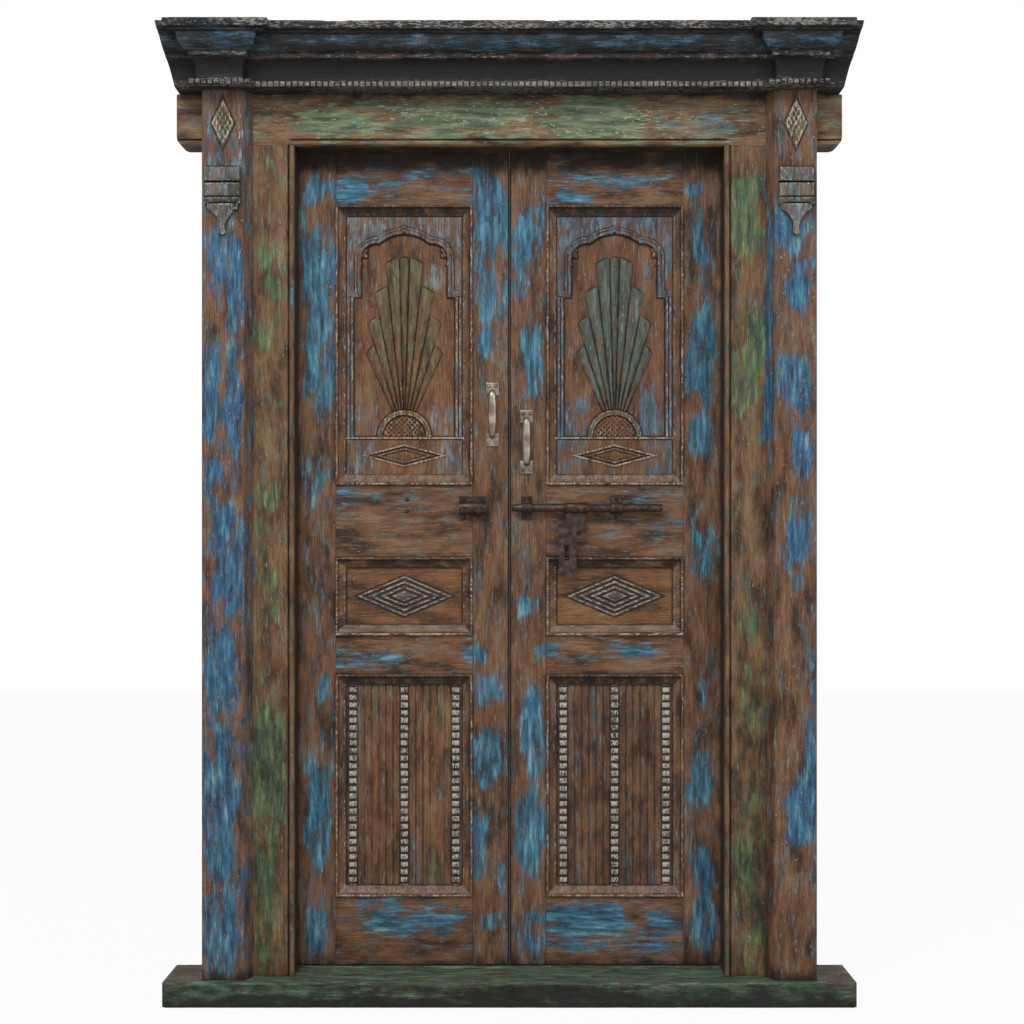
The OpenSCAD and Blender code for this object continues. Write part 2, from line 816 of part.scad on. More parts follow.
module middle_panel(side) color(carved_wood)
    on_side(side) {
        panel_board(middle_z0, middle_z1);
        translate([panel_mid, panel_front, (middle_z0 + middle_z1) / 2])
            lozenge(middle_diamond_w, middle_diamond_h, [1, 0.78, 0.5, 0.25], 2.5);
    }

module lower_panel(side) color(teak)
    on_side(side)
    difference() {
        panel_board(lower_z0, lower_z1);
        reeds = floor((strip_gap - strip_w) / reed_pitch);
        for (bay = [-1, 1], i = [0:reeds])
            translate([panel_mid + bay * strip_gap / 2 + (i - reeds / 2) * reed_pitch, panel_front, 0])
            translate([0, 0, lower_z0 + moulding_w])
            linear_extrude(lower_panel_h - 2 * moulding_w)
            polygon([[-2, -cut], [2, -cut], [0, reed_cut]]);
    }

// Section of a planted moulding: a roll against the stile, then a slope down to the panel
moulding_base = panel_back + moulding_rise;
function moulding_section() = [
    [0, 0],
    [0, moulding_base - 2],
    [2, moulding_base],
    [moulding_w * 0.22, moulding_base],
    [moulding_w * 0.3, moulding_base - 3],
    [moulding_w * 0.85, moulding_base * 0.25],
    [moulding_w, moulding_base * 0.25 - 2],
    [moulding_w, 0]];

// The moulding's section carried round a panel opening, with mitred corners
module moulding(side, z0, z1) color(carved_wood)
    on_side(side)
    translate([panel_mid, panel_front, (z0 + z1) / 2]) {
        section = moulding_section();
        n = len(section);
        points = [
            for (corner = [[-1, -1], [1, -1], [1, 1], [-1, 1]], p = section)
                [corner[0] * (panel_w / 2 - p[0]), -p[1], corner[1] * ((z1 - z0) / 2 - p[0])]];
        faces = [
            for (c = [0:3], i = [0:n - 1])
                let (d = (c + 1) % 4, j = (i + 1) % n)
                [c * n + i, c * n + j, d * n + j, d * n + i]];
        polyhedron(points, faces);
    }

// Three strips of beads on the lower panel
module bead_strips(side) color(nickel)
    on_side(side)
    for (i = [-1:1])
    translate([panel_mid + i * strip_gap, panel_front, 0]) {
        length = lower_panel_h - 2 * moulding_w;
        count = floor(length / bead_pitch);
        block([-strip_w / 2, -bead_out / 3, lower_z0 + moulding_w],
            [strip_w / 2, 0, lower_z1 - moulding_w]);
        for (k = [0:count - 1])
            translate([0, 0, (lower_z0 + lower_z1) / 2 + (k - (count - 1) / 2) * bead_pitch])
            rotate([90, 0, 0])
            cylinder(h = bead_out, r1 = bead_pitch * 0.46, r2 = bead_pitch * 0.26, $fn = 24);
    }

// Hinges

// Knuckle of a hinge between two shares of its height, with its bore
module knuckle(z0, z1, r)
    translate([0, hinge_y, z0])
    cylinder(h = z1 - z0, r = r);

// Places its children at each hinge, with z = 0 at the hinge's foot
module at_hinges(side)
    on_side(side)
    for (z = hinge_zs)
    translate([hinge_x, 0, z - hinge_h / 2])
    children();

// One half of a hinge: a plate and the knuckles between the given heights
module hinge_half(plate_x0, plate_x1, own, other)
    difference() {
        union() {
            difference() {
                block([plate_x0, frame_d, 0], [plate_x1, frame_d + hinge_t, hinge_h]);
                for (z = other)
                    knuckle(z[0] - knuckle_gap, z[1] + knuckle_gap, barrel_r + 2 * knuckle_gap);
            }
            for (z = own)
                knuckle(z[0], z[1], barrel_r);
        }
        knuckle(-cut, hinge_h + cut, pin_r + running_gap);
    }

outer_knuckles = [[0, knuckle_h], [2 * knuckle_h, hinge_h]];
inner_knuckle = [[knuckle_h + knuckle_gap, 2 * knuckle_h - knuckle_gap]];

module frame_hinges(side) color(iron)
    at_hinges(side)
    hinge_half(0, hinge_w, outer_knuckles, inner_knuckle);

module leaf_hinges(side) color(iron)
    at_hinges(side)
    hinge_half(-hinge_w, 0, inner_knuckle, outer_knuckles);

module hinge_pins(side) color(iron)
    at_hinges(side) {
        pin_end = 2;
        knuckle(-pin_end, hinge_h, pin_r);
        knuckle(hinge_h, hinge_h + pin_end, barrel_r * 0.8);
    }

// Handles

bend_r = 14;
post_up = pad_h * 0.7;
screw_up = pad_h * 0.28;
screw_x = handle_w * 0.27;

// Places its children at a handle's foot, in front of the leaf
module at_handle(side)
    on_side(side)
    translate([leaf_x0 + handle_in, leaf_front, upper_z0 + (side == LEFT ? left_handle_up : right_handle_up)])
    children();

// Repeats its children at the foot and, upside down, at the top of a handle
module both_ends() {
    children();
    translate([0, 0, handle_h]) mirror([0, 0, 1]) children();
}

module handle(side) color(nickel)
    at_handle(side)
    difference() {
        union() {
            both_ends() {
                block([-handle_w / 2, -pad_t, 0], [handle_w / 2, 0, pad_h]);
                translate([0, 0, post_up]) rotate([90, 0, 0]) cylinder(h = grip_out - bend_r, r = grip_r);
                translate([0, bend_r - grip_out, post_up + bend_r])
                    rotate([90, 0, 90])
                    rotate(180)
                    rotate_extrude(angle = 90)
                    translate([bend_r, 0])
                    circle(grip_r);
            }
            translate([0, -grip_out, post_up + bend_r])
                cylinder(h = handle_h - 2 * (post_up + bend_r), r = grip_r);
        }
        both_ends()
            for (x = [-screw_x, screw_x])
            translate([x, cut, screw_up])
            rotate([90, 0, 0])
            cylinder(h = pad_t + 2 * cut, r = shank_r + running_gap);
    }

// A domed head that stands forward from y = 0
module nail_head(r)
    rotate([90, 0, 0])
    cylinder(h = r * 0.7, r1 = r, r2 = r * 0.55);

module handle_screws(side) color(nickel)
    at_handle(side)
    both_ends()
    for (x = [-screw_x, screw_x])
    translate([x, -pad_t, screw_up]) {
        nail_head(head_r);
        translate([0, pad_t, 0]) rotate([90, 0, 0]) cylinder(h = pad_t, r = shank_r);
    }

// Bolt

// Section of a guide or the keeper round the rod's axis, with feet on the leaf's face
module strap_section(bore_r) {
    strap_r = bore_r + strap_t;
    face = rod_r + rod_off;
    difference() {
        union() {
            circle(strap_r);
            translate([0, -strap_r * 0.8]) square([face, strap_r * 1.6]);
            translate([face - strap_t, -foot_h]) square([strap_t, 2 * foot_h]);
        }
        circle(bore_r);
    }
}

module at_rod() translate([0, rod_y, rod_z]) children();

module bolt_guides() color(iron)
    at_rod()
    for (x = guide_xs)
    along_x(x - guide_w / 2, x + guide_w / 2)
    strap_section(rod_r + running_gap);

keeper_x = leaf_x0 + keeper_in;

module bolt_keeper() color(iron)
    on_side(LEFT)
    at_rod() {
        wall = strap_t;
        along_x(keeper_x, keeper_x + keeper_l) strap_section(rod_r + keeper_gap);
        bar_x(keeper_x + keeper_l - wall, keeper_x + keeper_l, rod_r + keeper_gap + wall / 2);
    }

// Nail heads on the feet of a strap, at distances along the rod, above or below it
module foot_nails(xs, up)
    at_rod()
    for (x = xs)
    translate([x, rod_r + rod_off - strap_t, up * (foot_h - head_r - 2)])
    nail_head(head_r);

module keeper_nails() color(iron)
    on_side(LEFT) {
        foot_nails([keeper_x + head_r * 2.5, keeper_x + keeper_l - head_r * 2.5], 1);
        foot_nails([keeper_x + keeper_l - head_r * 2.5], -1);
    }

module guide_nails() color(iron) {
    near = guide_xs[0];
    edge = guide_w / 2 - head_r - 1;
    foot_nails([near - edge, near + edge, guide_xs[1]], 1);
    foot_nails([near - edge, guide_xs[1]], -1);
}

// Two old nails left in the left lock rail
module rail_nails() color(iron)
    on_side(LEFT)
    for (z = [-7, 21])
    translate([panel_mid - 7, leaf_front, rod_z + z])
    nail_head(head_r);

// The rod has a chamfered tip and two shoulders that keep the hasp in place
module bolt_rod() color(iron)
    at_rod() {
        tip = 3;
        shoulder_w = 4;
        shoulder_r = rod_r + 2;
        translate([rod_x0, 0, 0]) rotate([0, 90, 0]) cylinder(h = tip, r1 = rod_r - tip, r2 = rod_r);
        bar_x(rod_x0 + tip, rod_x0 + rod_l, rod_r);
        for (x = [collar_x0 - shoulder_w - knuckle_gap, collar_x0 + collar_l + knuckle_gap])
            bar_x(x, x + shoulder_w, shoulder_r);
    }

// Outline of the hasp's plate, from the collar's near end and the rod's axis
function hasp_outline(top) = let (
    left = -hasp_w * 0.4,
    right = hasp_w * 0.6,
    ear = 26,
    ear_top = -foot_h - 4,
    neck = -hasp_l * 0.39,
    waist = -hasp_l * 0.48,
    corner = 10) [
    [0, top],
    [collar_l, top],
    [collar_l, neck],
    [right, waist],
    [right, corner - hasp_l],
    [right - corner, -hasp_l],
    [left + corner, -hasp_l],
    [left, corner - hasp_l],
    [left, waist],
    [-ear, neck],
    [-ear, ear_top],
    [0, ear_top]];

module bolt_hasp() color(iron)
    at_rod()
    translate([collar_x0, 0, 0]) {
        bore_r = rod_r + running_gap;
        slot_x = hasp_w * 0.05;
        slot_top = -hasp_l * 0.53;
        difference() {
            union() {
                bar_x(0, collar_l, bore_r + strap_t);
                along_y(-hasp_t / 2, hasp_t / 2) polygon(hasp_outline(-bore_r - strap_t / 2));
            }
            bar_x(-cut, collar_l + cut, bore_r);
            block([slot_x - slot_w / 2, -hasp_t, slot_top - slot_l], [slot_x + slot_w / 2, hasp_t, slot_top]);
        }
        translate([collar_l * 0.65, -hasp_t / 2, -hasp_l * 0.36]) nail_head(head_r * 1.2);
    }

sill();
jamb(LEFT);  // left_jamb
jamb(RIGHT);  // right_jamb
head();
pilaster(LEFT);  // left_pilaster
pilaster(RIGHT);  // right_pilaster
corbel(LEFT);  // left_corbel
corbel(RIGHT);  // right_corbel
cornice();
cornice_beads();
capital(LEFT);  // left_capital
capital(RIGHT);  // right_capital
frame_hinges(LEFT);  // left_frame_hinges
frame_hinges(RIGHT);  // right_frame_hinges
hinge_pins(LEFT);  // left_hinge_pins
hinge_pins(RIGHT);  // right_hinge_pins
hinge_stile(LEFT);  // left_hinge_stile
meeting_stile(LEFT);  // left_meeting_stile
rail(LEFT, upper_z1, leaf_z1, true, false);  // left_top_rail
rail(LEFT, middle_z1, upper_z0, true, true);  // left_lock_rail
rail(LEFT, lower_z1, middle_z0, true, true);  // left_middle_rail
rail(LEFT, leaf_z0, lower_z0, false, true);  // left_bottom_rail
upper_panel(LEFT);  // left_upper_panel
middle_panel(LEFT);  // left_middle_panel
lower_panel(LEFT);  // left_lower_panel
moulding(LEFT, upper_z0, upper_z1);  // left_upper_moulding
moulding(LEFT, middle_z0, middle_z1);  // left_middle_moulding
moulding(LEFT, lower_z0, lower_z1);  // left_lower_moulding
bead_strips(LEFT);  // left_bead_strips
handle(LEFT);  // left_handle
handle_screws(LEFT);  // left_handle_screws
leaf_hinges(LEFT);  // left_leaf_hinges
hinge_stile(RIGHT);  // right_hinge_stile
meeting_stile(RIGHT);  // right_meeting_stile
rail(RIGHT, upper_z1, leaf_z1, true, false);  // right_top_rail
rail(RIGHT, middle_z1, upper_z0, true, true);  // right_lock_rail
rail(RIGHT, lower_z1, middle_z0, true, true);  // right_middle_rail
rail(RIGHT, leaf_z0, lower_z0, false, true);  // right_bottom_rail
upper_panel(RIGHT);  // right_upper_panel
middle_panel(RIGHT);  // right_middle_panel
lower_panel(RIGHT);  // right_lower_panel
moulding(RIGHT, upper_z0, upper_z1);  // right_upper_moulding
moulding(RIGHT, middle_z0, middle_z1);  // right_middle_moulding
moulding(RIGHT, lower_z0, lower_z1);  // right_lower_moulding
bead_strips(RIGHT);  // right_bead_strips
handle(RIGHT);  // right_handle
handle_screws(RIGHT);  // right_handle_screws
leaf_hinges(RIGHT);  // right_leaf_hinges
bolt_keeper();
keeper_nails();
rail_nails();
bolt_guides();
guide_nails();
bolt_rod();
bolt_hasp();
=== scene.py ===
"""Dresses a packed two-leaf door: worn paint over carved teak, forged steel fittings, a pale studio.

Every array of points is in millimetres, in the frame's own axes: X to the right, Y to the back, Z up.
A piece becomes metres only where its mesh is made.
"""

from __future__ import annotations

import json
import logging
import math
from collections.abc import Callable
from dataclasses import dataclass, field
from enum import Enum, IntEnum
from itertools import accumulate

import bmesh
import bpy
import numpy as np
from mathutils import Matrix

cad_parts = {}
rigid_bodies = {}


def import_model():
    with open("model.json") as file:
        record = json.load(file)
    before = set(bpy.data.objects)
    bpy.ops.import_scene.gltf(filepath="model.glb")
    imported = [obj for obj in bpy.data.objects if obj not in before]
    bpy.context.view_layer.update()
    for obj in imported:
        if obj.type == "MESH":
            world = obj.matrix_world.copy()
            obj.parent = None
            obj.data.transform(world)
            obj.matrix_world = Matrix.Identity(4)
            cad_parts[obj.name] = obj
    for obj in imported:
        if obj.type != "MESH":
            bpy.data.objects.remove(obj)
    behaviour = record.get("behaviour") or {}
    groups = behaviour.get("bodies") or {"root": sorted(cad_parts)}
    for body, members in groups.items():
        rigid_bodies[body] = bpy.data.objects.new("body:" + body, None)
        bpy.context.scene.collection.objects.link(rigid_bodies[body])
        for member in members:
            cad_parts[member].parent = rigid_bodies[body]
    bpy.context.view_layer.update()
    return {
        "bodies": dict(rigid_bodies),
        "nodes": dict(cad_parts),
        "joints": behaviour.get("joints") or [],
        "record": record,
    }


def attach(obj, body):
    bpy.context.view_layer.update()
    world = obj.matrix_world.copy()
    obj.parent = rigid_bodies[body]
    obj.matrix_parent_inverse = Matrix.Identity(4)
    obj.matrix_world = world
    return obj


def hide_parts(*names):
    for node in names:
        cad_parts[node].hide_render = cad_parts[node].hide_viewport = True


LOG = logging.getLogger("door")
MM = 0.001
HOLLOW_REACH = 4.0
Array = np.ndarray
Carving = Callable[[Array, Array], Array]


class Axis(Enum):
    """Direction along which a board is cut, which is also its grain."""

    X = 0
    Z = 2


class Side(Enum):
    """Half of the door that a mirrored piece is on."""

    LEFT = "left"
    RIGHT = "right"

    @property
    def sign(self) -> int:
        """Sign of X on this side."""
        return -1 if self is Side.LEFT else 1

    def span(self, inner: float, outer: float) -> tuple[float, float]:
        """Lowest and highest X of a stretch that is given as distances from the middle."""
        return tuple(sorted((self.sign * inner, self.sign * outer)))


def linear(colour: str) -> tuple[float, float, float, float]:
    """Turns an sRGB hex colour into linear light.

    Args:
        colour: six hex digits after a hash.

    Returns:
        Red, green, blue and an alpha of one.
    """
    shares = np.array([int(colour[i:i + 2], 16) for i in (1, 3, 5)]) / 255
    light = np.where(shares <= 0.04045, shares / 12.92, ((shares + 0.055) / 1.055) ** 2.4)
    return (*light.tolist(), 1.0)


def smoothstep(low: float, high: float, value: Array) -> Array:
    """Eases from 0 at low to 1 at high, with a level start and end."""
    share = np.clip((value - low) / (high - low), 0, 1)
    return share * share * (3 - 2 * share)


def lattice_hash(cells: Array, seed: int) -> Array:
    """Repeatable number from 0 to 1 for each whole-number cell, from the fraction of a large sine."""
    mixed = np.sin(cells @ np.array([127.1, 311.7, 74.7]) + seed * 53.3) * 43758.5453
    return mixed - np.floor(mixed)


def value_noise(points: Array, cell: tuple[float, float, float], seed: int) -> Array:
    """Smooth noise: the eight hashed corners of each cell, eased between.

    Args:
        points: places in mm, in rows of three.
        cell: size of a cell along each axis in mm.
        seed: chooses the pattern.

    Returns:
        One number from 0 to 1 for each point.
    """
    scaled = points / np.array(cell)
    base = np.floor(scaled)
    part = scaled - base
    part = part * part * (3 - 2 * part)
    total = np.zeros(len(points))
    for corner in np.ndindex(2, 2, 2):
        offset = np.array(corner)
        weight = np.prod(np.where(offset == 1, part, 1 - part), axis=1)
        total += weight * lattice_hash(base + offset, seed)
    return total


def cloud(points: Array, cell: float, seed: int, stretch: tuple[float, float, float] = (1, 1, 1)) -> Array:
    """Three octaves of value noise, each half the size and half the strength of the last."""
    size = np.array(stretch) * cell
    layers = [value_noise(points, tuple(size / 2 ** i), seed + i) / 2 ** i for i in range(3)]
    return sum(layers) / 1.75


@dataclass
class Skin:
    """A surface: points in mm, faces in arrays of equal rows, and how far each point lies in a hollow."""

    verts: Array
    faces: list[Array]
    hollow: Array | None = None

    def __post_init__(self) -> None:
        """A skin that says nothing of its hollows has none."""
        if self.hollow is None:
            self.hollow = np.zeros(len(self.verts))

    def __add__(self, other: Skin) -> Skin:
        """Joins two skins into one."""
        moved = [group + len(self.verts) for group in other.faces]
        verts = np.vstack([self.verts, other.verts])
        return Skin(verts, self.faces + moved, np.concatenate([self.hollow, other.hollow]))


def grid_faces(rows: int, columns: int, wrap_rows: bool = False, wrap_columns: bool = False) -> Array:
    """Quads of a grid whose points run along the columns first.

    Args:
        rows: points along the first parameter.
        columns: points along the second parameter.
        wrap_rows: joins the last row to the first.
        wrap_columns: joins the last column to the first.

    Returns:
        Rows of four point numbers.
    """
    number = np.arange(rows * columns).reshape(rows, columns)
    if wrap_rows:
        number = np.vstack([number, number[:1]])
    if wrap_columns:
        number = np.hstack([number, number[:, :1]])
    corners = [number[:-1, :-1], number[:-1, 1:], number[1:, 1:], number[1:, :-1]]
    return np.stack(corners, axis=-1).reshape(-1, 4)


def tube_faces(rows: int, columns: int) -> list[Array]:
    """Faces of a tube whose closed sections are the rows of a grid, with one flat face over each end."""
    first = np.arange(columns)[None, ::-1]
    last = np.arange(columns)[None, :] + (rows - 1) * columns
    return [grid_faces(rows, columns, wrap_columns=True), first, last]


@dataclass
class Outline:
    """Closed section with rounded corners: its points, how far each is on an arris, and the way in."""

    points: Array
    arris: Array
    inward: Array


def rounded_outline(corners: list[tuple[float, float]], radius: float, step: float) -> Outline:
    """Rounds each corner with a quadratic curve and fills the straight sides with evenly spaced points.

    Args:
        corners: the section's corners in mm, in order.
        radius: distance from a corner at which its curve starts.
        step: longest distance between points on a side.

    Returns:
        The outline, its arris weights being 1 in the middle of an outward corner.
    """
    corner = np.array(corners, dtype=float)
    back = np.roll(corner, 1, axis=0) - corner
    ahead = np.roll(corner, -1, axis=0) - corner
    back_length = np.linalg.norm(back, axis=1, keepdims=True)
    ahead_length = np.linalg.norm(ahead, axis=1, keepdims=True)
    reach = np.minimum(radius, 0.45 * np.minimum(back_length, ahead_length))
    starts = corner + back / back_length * reach
    ends = corner + ahead / ahead_length * reach
    turn = ahead[:, 0] * back[:, 1] - ahead[:, 1] * back[:, 0]
    outward = np.sign(turn) == np.sign(turn.sum())
    bisector = back / back_length + ahead / ahead_length
    bisector /= np.maximum(np.linalg.norm(bisector, axis=1, keepdims=True), 1e-6)
    share = np.linspace(0, 1, 5)[:, None]
    points, arris, inward = [], [], []
    for i in range(len(corner)):
        following = (i + 1) % len(corner)
        curve = (1 - share) ** 2 * starts[i] + 2 * share * (1 - share) * corner[i] + share ** 2 * ends[i]
        gap = np.linalg.norm(starts[following] - ends[i])
        between = np.linspace(0, 1, max(2, math.ceil(gap / step) + 1))[1:-1, None]
        side = ends[i] + between * (starts[following] - ends[i])
        points += [curve, side]
        arris += [np.sin(share[:, 0] * np.pi) * outward[i], np.zeros(len(side))]
        inward += [np.repeat(bisector[i:i + 1], len(curve) + len(side), axis=0)]
    return Outline(np.vstack(points), np.concatenate(arris), np.vstack(inward))


def stations(start: float, end: float, step: float) -> Array:
    """Places along a board, close to each end and then evenly spaced."""
    inner = np.linspace(start, end, max(4, math.ceil((end - start) / step)))[1:-1]
    edge = min(1.6, (end - start) * 0.1)
    inner = inner[(inner > start + 2 * edge) & (inner < end - 2 * edge)]
    close = np.array([0, 0.4, 1]) * edge
    return np.concatenate([start + close, inner, end - close[::-1]])


@dataclass
class Board:
    """A sawn length of timber whose arrises are knocked and worn, always inwards from its full size."""

    corners: list[tuple[float, float]]
    axis: Axis
    start: float
    end: float
    seed: int
    radius: float = 2.2
    wear: float = 2.4
    waviness: float = 0.5
    step: float = 9.0
    kept: float | None = None
    knock_size: float = 9
    rub_size: float = 60
    wave_size: float = 45
    end_wear: tuple[float, float] = (1.2, 0.4)

    def skin(self) -> Skin:
        """Carries the section along the grain: point = section + inward * arris * worn noise.

        A board that closes against another keeps its section unworn near that first coordinate.

        Returns:
            The closed board, its ends drawn in slightly where the saw cut has worn.
        """
        outline = rounded_outline(self.corners, self.radius, self.step)
        along = stations(self.start, self.end, self.step)
        rows, columns = len(along), len(outline.points)
        section = np.broadcast_to(outline.points, (rows, columns, 2)).copy()
        place = self.placed(section, along).reshape(-1, 3)
        stretch = (4, 1, 1) if self.axis is Axis.X else (1, 1, 4)
        knocks = cloud(place, self.knock_size, self.seed, stretch)
        long_wear = cloud(place, self.rub_size, self.seed + 7, stretch)
        worn = smoothstep(0.5, 0.9, 0.6 * knocks + 0.4 * long_wear).reshape(rows, columns)
        if self.kept is not None:
            worn = worn * smoothstep(1.5, 4, np.abs(outline.points[:, 0] - self.kept))
        section += outline.inward * (outline.arris * worn * self.wear)[..., None]
        middle = outline.points.mean(axis=0)
        drawn = np.zeros(rows)
        drawn[[0, -1]], drawn[[1, -2]] = self.end_wear
        reach = np.maximum(np.abs(outline.points - middle), 1)
        section -= np.sign(outline.points - middle) * np.minimum(drawn[:, None, None], reach * 0.2)
        verts = self.placed(section, along).reshape(-1, 3)
        front = verts[:, 1] < place[:, 1].min() + 0.8
        verts[:, 1] += front * self.waviness * cloud(place, self.wave_size, self.seed + 13, stretch)
        return Skin(verts, tube_faces(rows, columns))

    def placed(self, section: Array, along: Array) -> Array:
        """Sets a stack of sections at their places: (X, Y, Z) with the grain along the board's axis."""
        length = np.broadcast_to(along[:, None], section.shape[:2])
        if self.axis is Axis.X:
            return np.stack([length, section[..., 0], section[..., 1]], axis=-1)
        return np.stack([section[..., 0], section[..., 1], length], axis=-1)


def rectangle(a: tuple[float, float], b: tuple[float, float]) -> list[tuple[float, float]]:
    """Corners of a rectangle from the extents of its two sides."""
    return [(a[0], b[0]), (a[1], b[0]), (a[1], b[1]), (a[0], b[1])]


class Pigment(IntEnum):
    """Channel of the paint attribute that a patch adds to."""

    FIRST = 0
    SECOND = 1
    PALE = 2
    # darkens towards the dark colour of the finish: dust and dirt, and painted shade in hollows, creases,
    # reveals, gaps and under overhangs
    GRIME = 3


@dataclass(frozen=True)
class Patch:
    """A soft oval of paint that has lasted, or with a negative amount a stretch that has gone."""

    x: float
    z: float
    half_w: float
    half_h: float
    amount: float = 0.8
    pigment: Pigment = Pigment.FIRST

    @staticmethod
    def over(
        x: tuple[float, float], z: tuple[float, float], amount: float = 0.8,
        pigment: Pigment = Pigment.FIRST,
    ) -> Patch:
        """A patch from its extents in X and Z, in mm."""
        return Patch(
            (x[0] + x[1]) / 2, (z[0] + z[1]) / 2, abs(x[1] - x[0]) / 2, abs(z[1] - z[0]) / 2, amount, pigment)

    def weight(self, points: Array) -> Array:
        """Amount at each point: full in the middle of the oval, fading in ragged streaks towards its edge."""
        streaks = (1, 1, 3) if self.half_h > self.half_w else (3, 1, 1)
        streak_size, squareness = 26, 2.5
        seed = int(self.x * 7 + self.z)
        ragged = 1.7 * (cloud(points, streak_size, seed, streaks) - 0.5)
        apart = np.abs((points[:, 0] - self.x) / self.half_w) ** squareness
        apart += np.abs((points[:, 2] - self.z) / self.half_h) ** squareness
        return self.amount * (1 - smoothstep(0.4, 1.4, apart ** (1 / squareness) + ragged))


@dataclass(frozen=True)
class Coat:
    """How much of each pigment is left on a piece before its patches are added."""

    first: float = 0.12
    second: float = 0.0
    pale: float = 0.15
    grime: float = 0.25

    def cover(self, points: Array, patches: list[Patch]) -> Array:
        """Coverage of the four channels at each point.

        Args:
            points: places in mm.
            patches: soft ovals that add to the coat.

        Returns:
            Rows of four numbers from 0 to 1.
        """
        base = np.tile([self.first, self.second, self.pale, self.grime], (len(points), 1))
        fade = 60
        low, high = points.min(axis=0) - fade, points.max(axis=0) + fade
        for patch in patches:
            meets_x = low[0] < patch.x + patch.half_w and patch.x - patch.half_w < high[0]
            meets_z = low[2] < patch.z + patch.half_h and patch.z - patch.half_h < high[2]
            if meets_x and meets_z:
                base[:, patch.pigment] += patch.weight(points)
        return np.clip(base, 0, 1)


def add(
    tree: bpy.types.NodeTree, kind: str, *inputs: object, give: str = "", **settings: object,
) -> bpy.types.NodeSocket:
    """Adds one shader node.

    Args:
        tree: the tree that gets it.
        kind: Blender's name of the node type, without its prefix.
        inputs: a value or another node's output for each open input in turn, None to leave one as it is.
        give: name of the output that is wanted, the first open one if empty.
        settings: the node's own properties.

    Returns:
        An output of the new node.
    """
    node = tree.nodes.new("ShaderNode" + kind)
    for name, value in settings.items():
        setattr(node, name, value)
    for socket, value in zip([s for s in node.inputs if s.enabled], inputs):
        if isinstance(value, bpy.types.NodeSocket):
            tree.links.new(value, socket)
        elif value is not None:
            socket.default_value = value
    if give:
        return node.outputs[give]
    return next(s for s in node.outputs if s.enabled)


def colour_stops(ramp: bpy.types.NodeSocket, *stops: tuple[float, str]) -> bpy.types.NodeSocket:
    """Sets the stops of a colour ramp, each a place and a hex colour, and gives its colour again."""
    elements = ramp.node.color_ramp.elements
    while len(elements) < len(stops):
        elements.new(0.5)
    for element, (place, colour) in zip(elements, stops):
        element.position = place
        element.color = linear(colour)
    return ramp


def new_material(name: str) -> tuple[bpy.types.Material, bpy.types.NodeTree, bpy.types.Node]:
    """A material with an empty tree but for its surface shader and output."""
    material = bpy.data.materials.new(name)
    material.use_nodes = True
    tree = material.node_tree
    tree.nodes.clear()
    surface = add(tree, "BsdfPrincipled")
    output = tree.nodes.new("ShaderNodeOutputMaterial")
    tree.links.new(surface, output.inputs["Surface"])
    return material, tree, surface.node


@dataclass(frozen=True)
class Grain:
    """One layer of noise: its cell across the grain in mm, its stretch along it, and its detail."""

    cell: float
    stretch: float
    detail: float


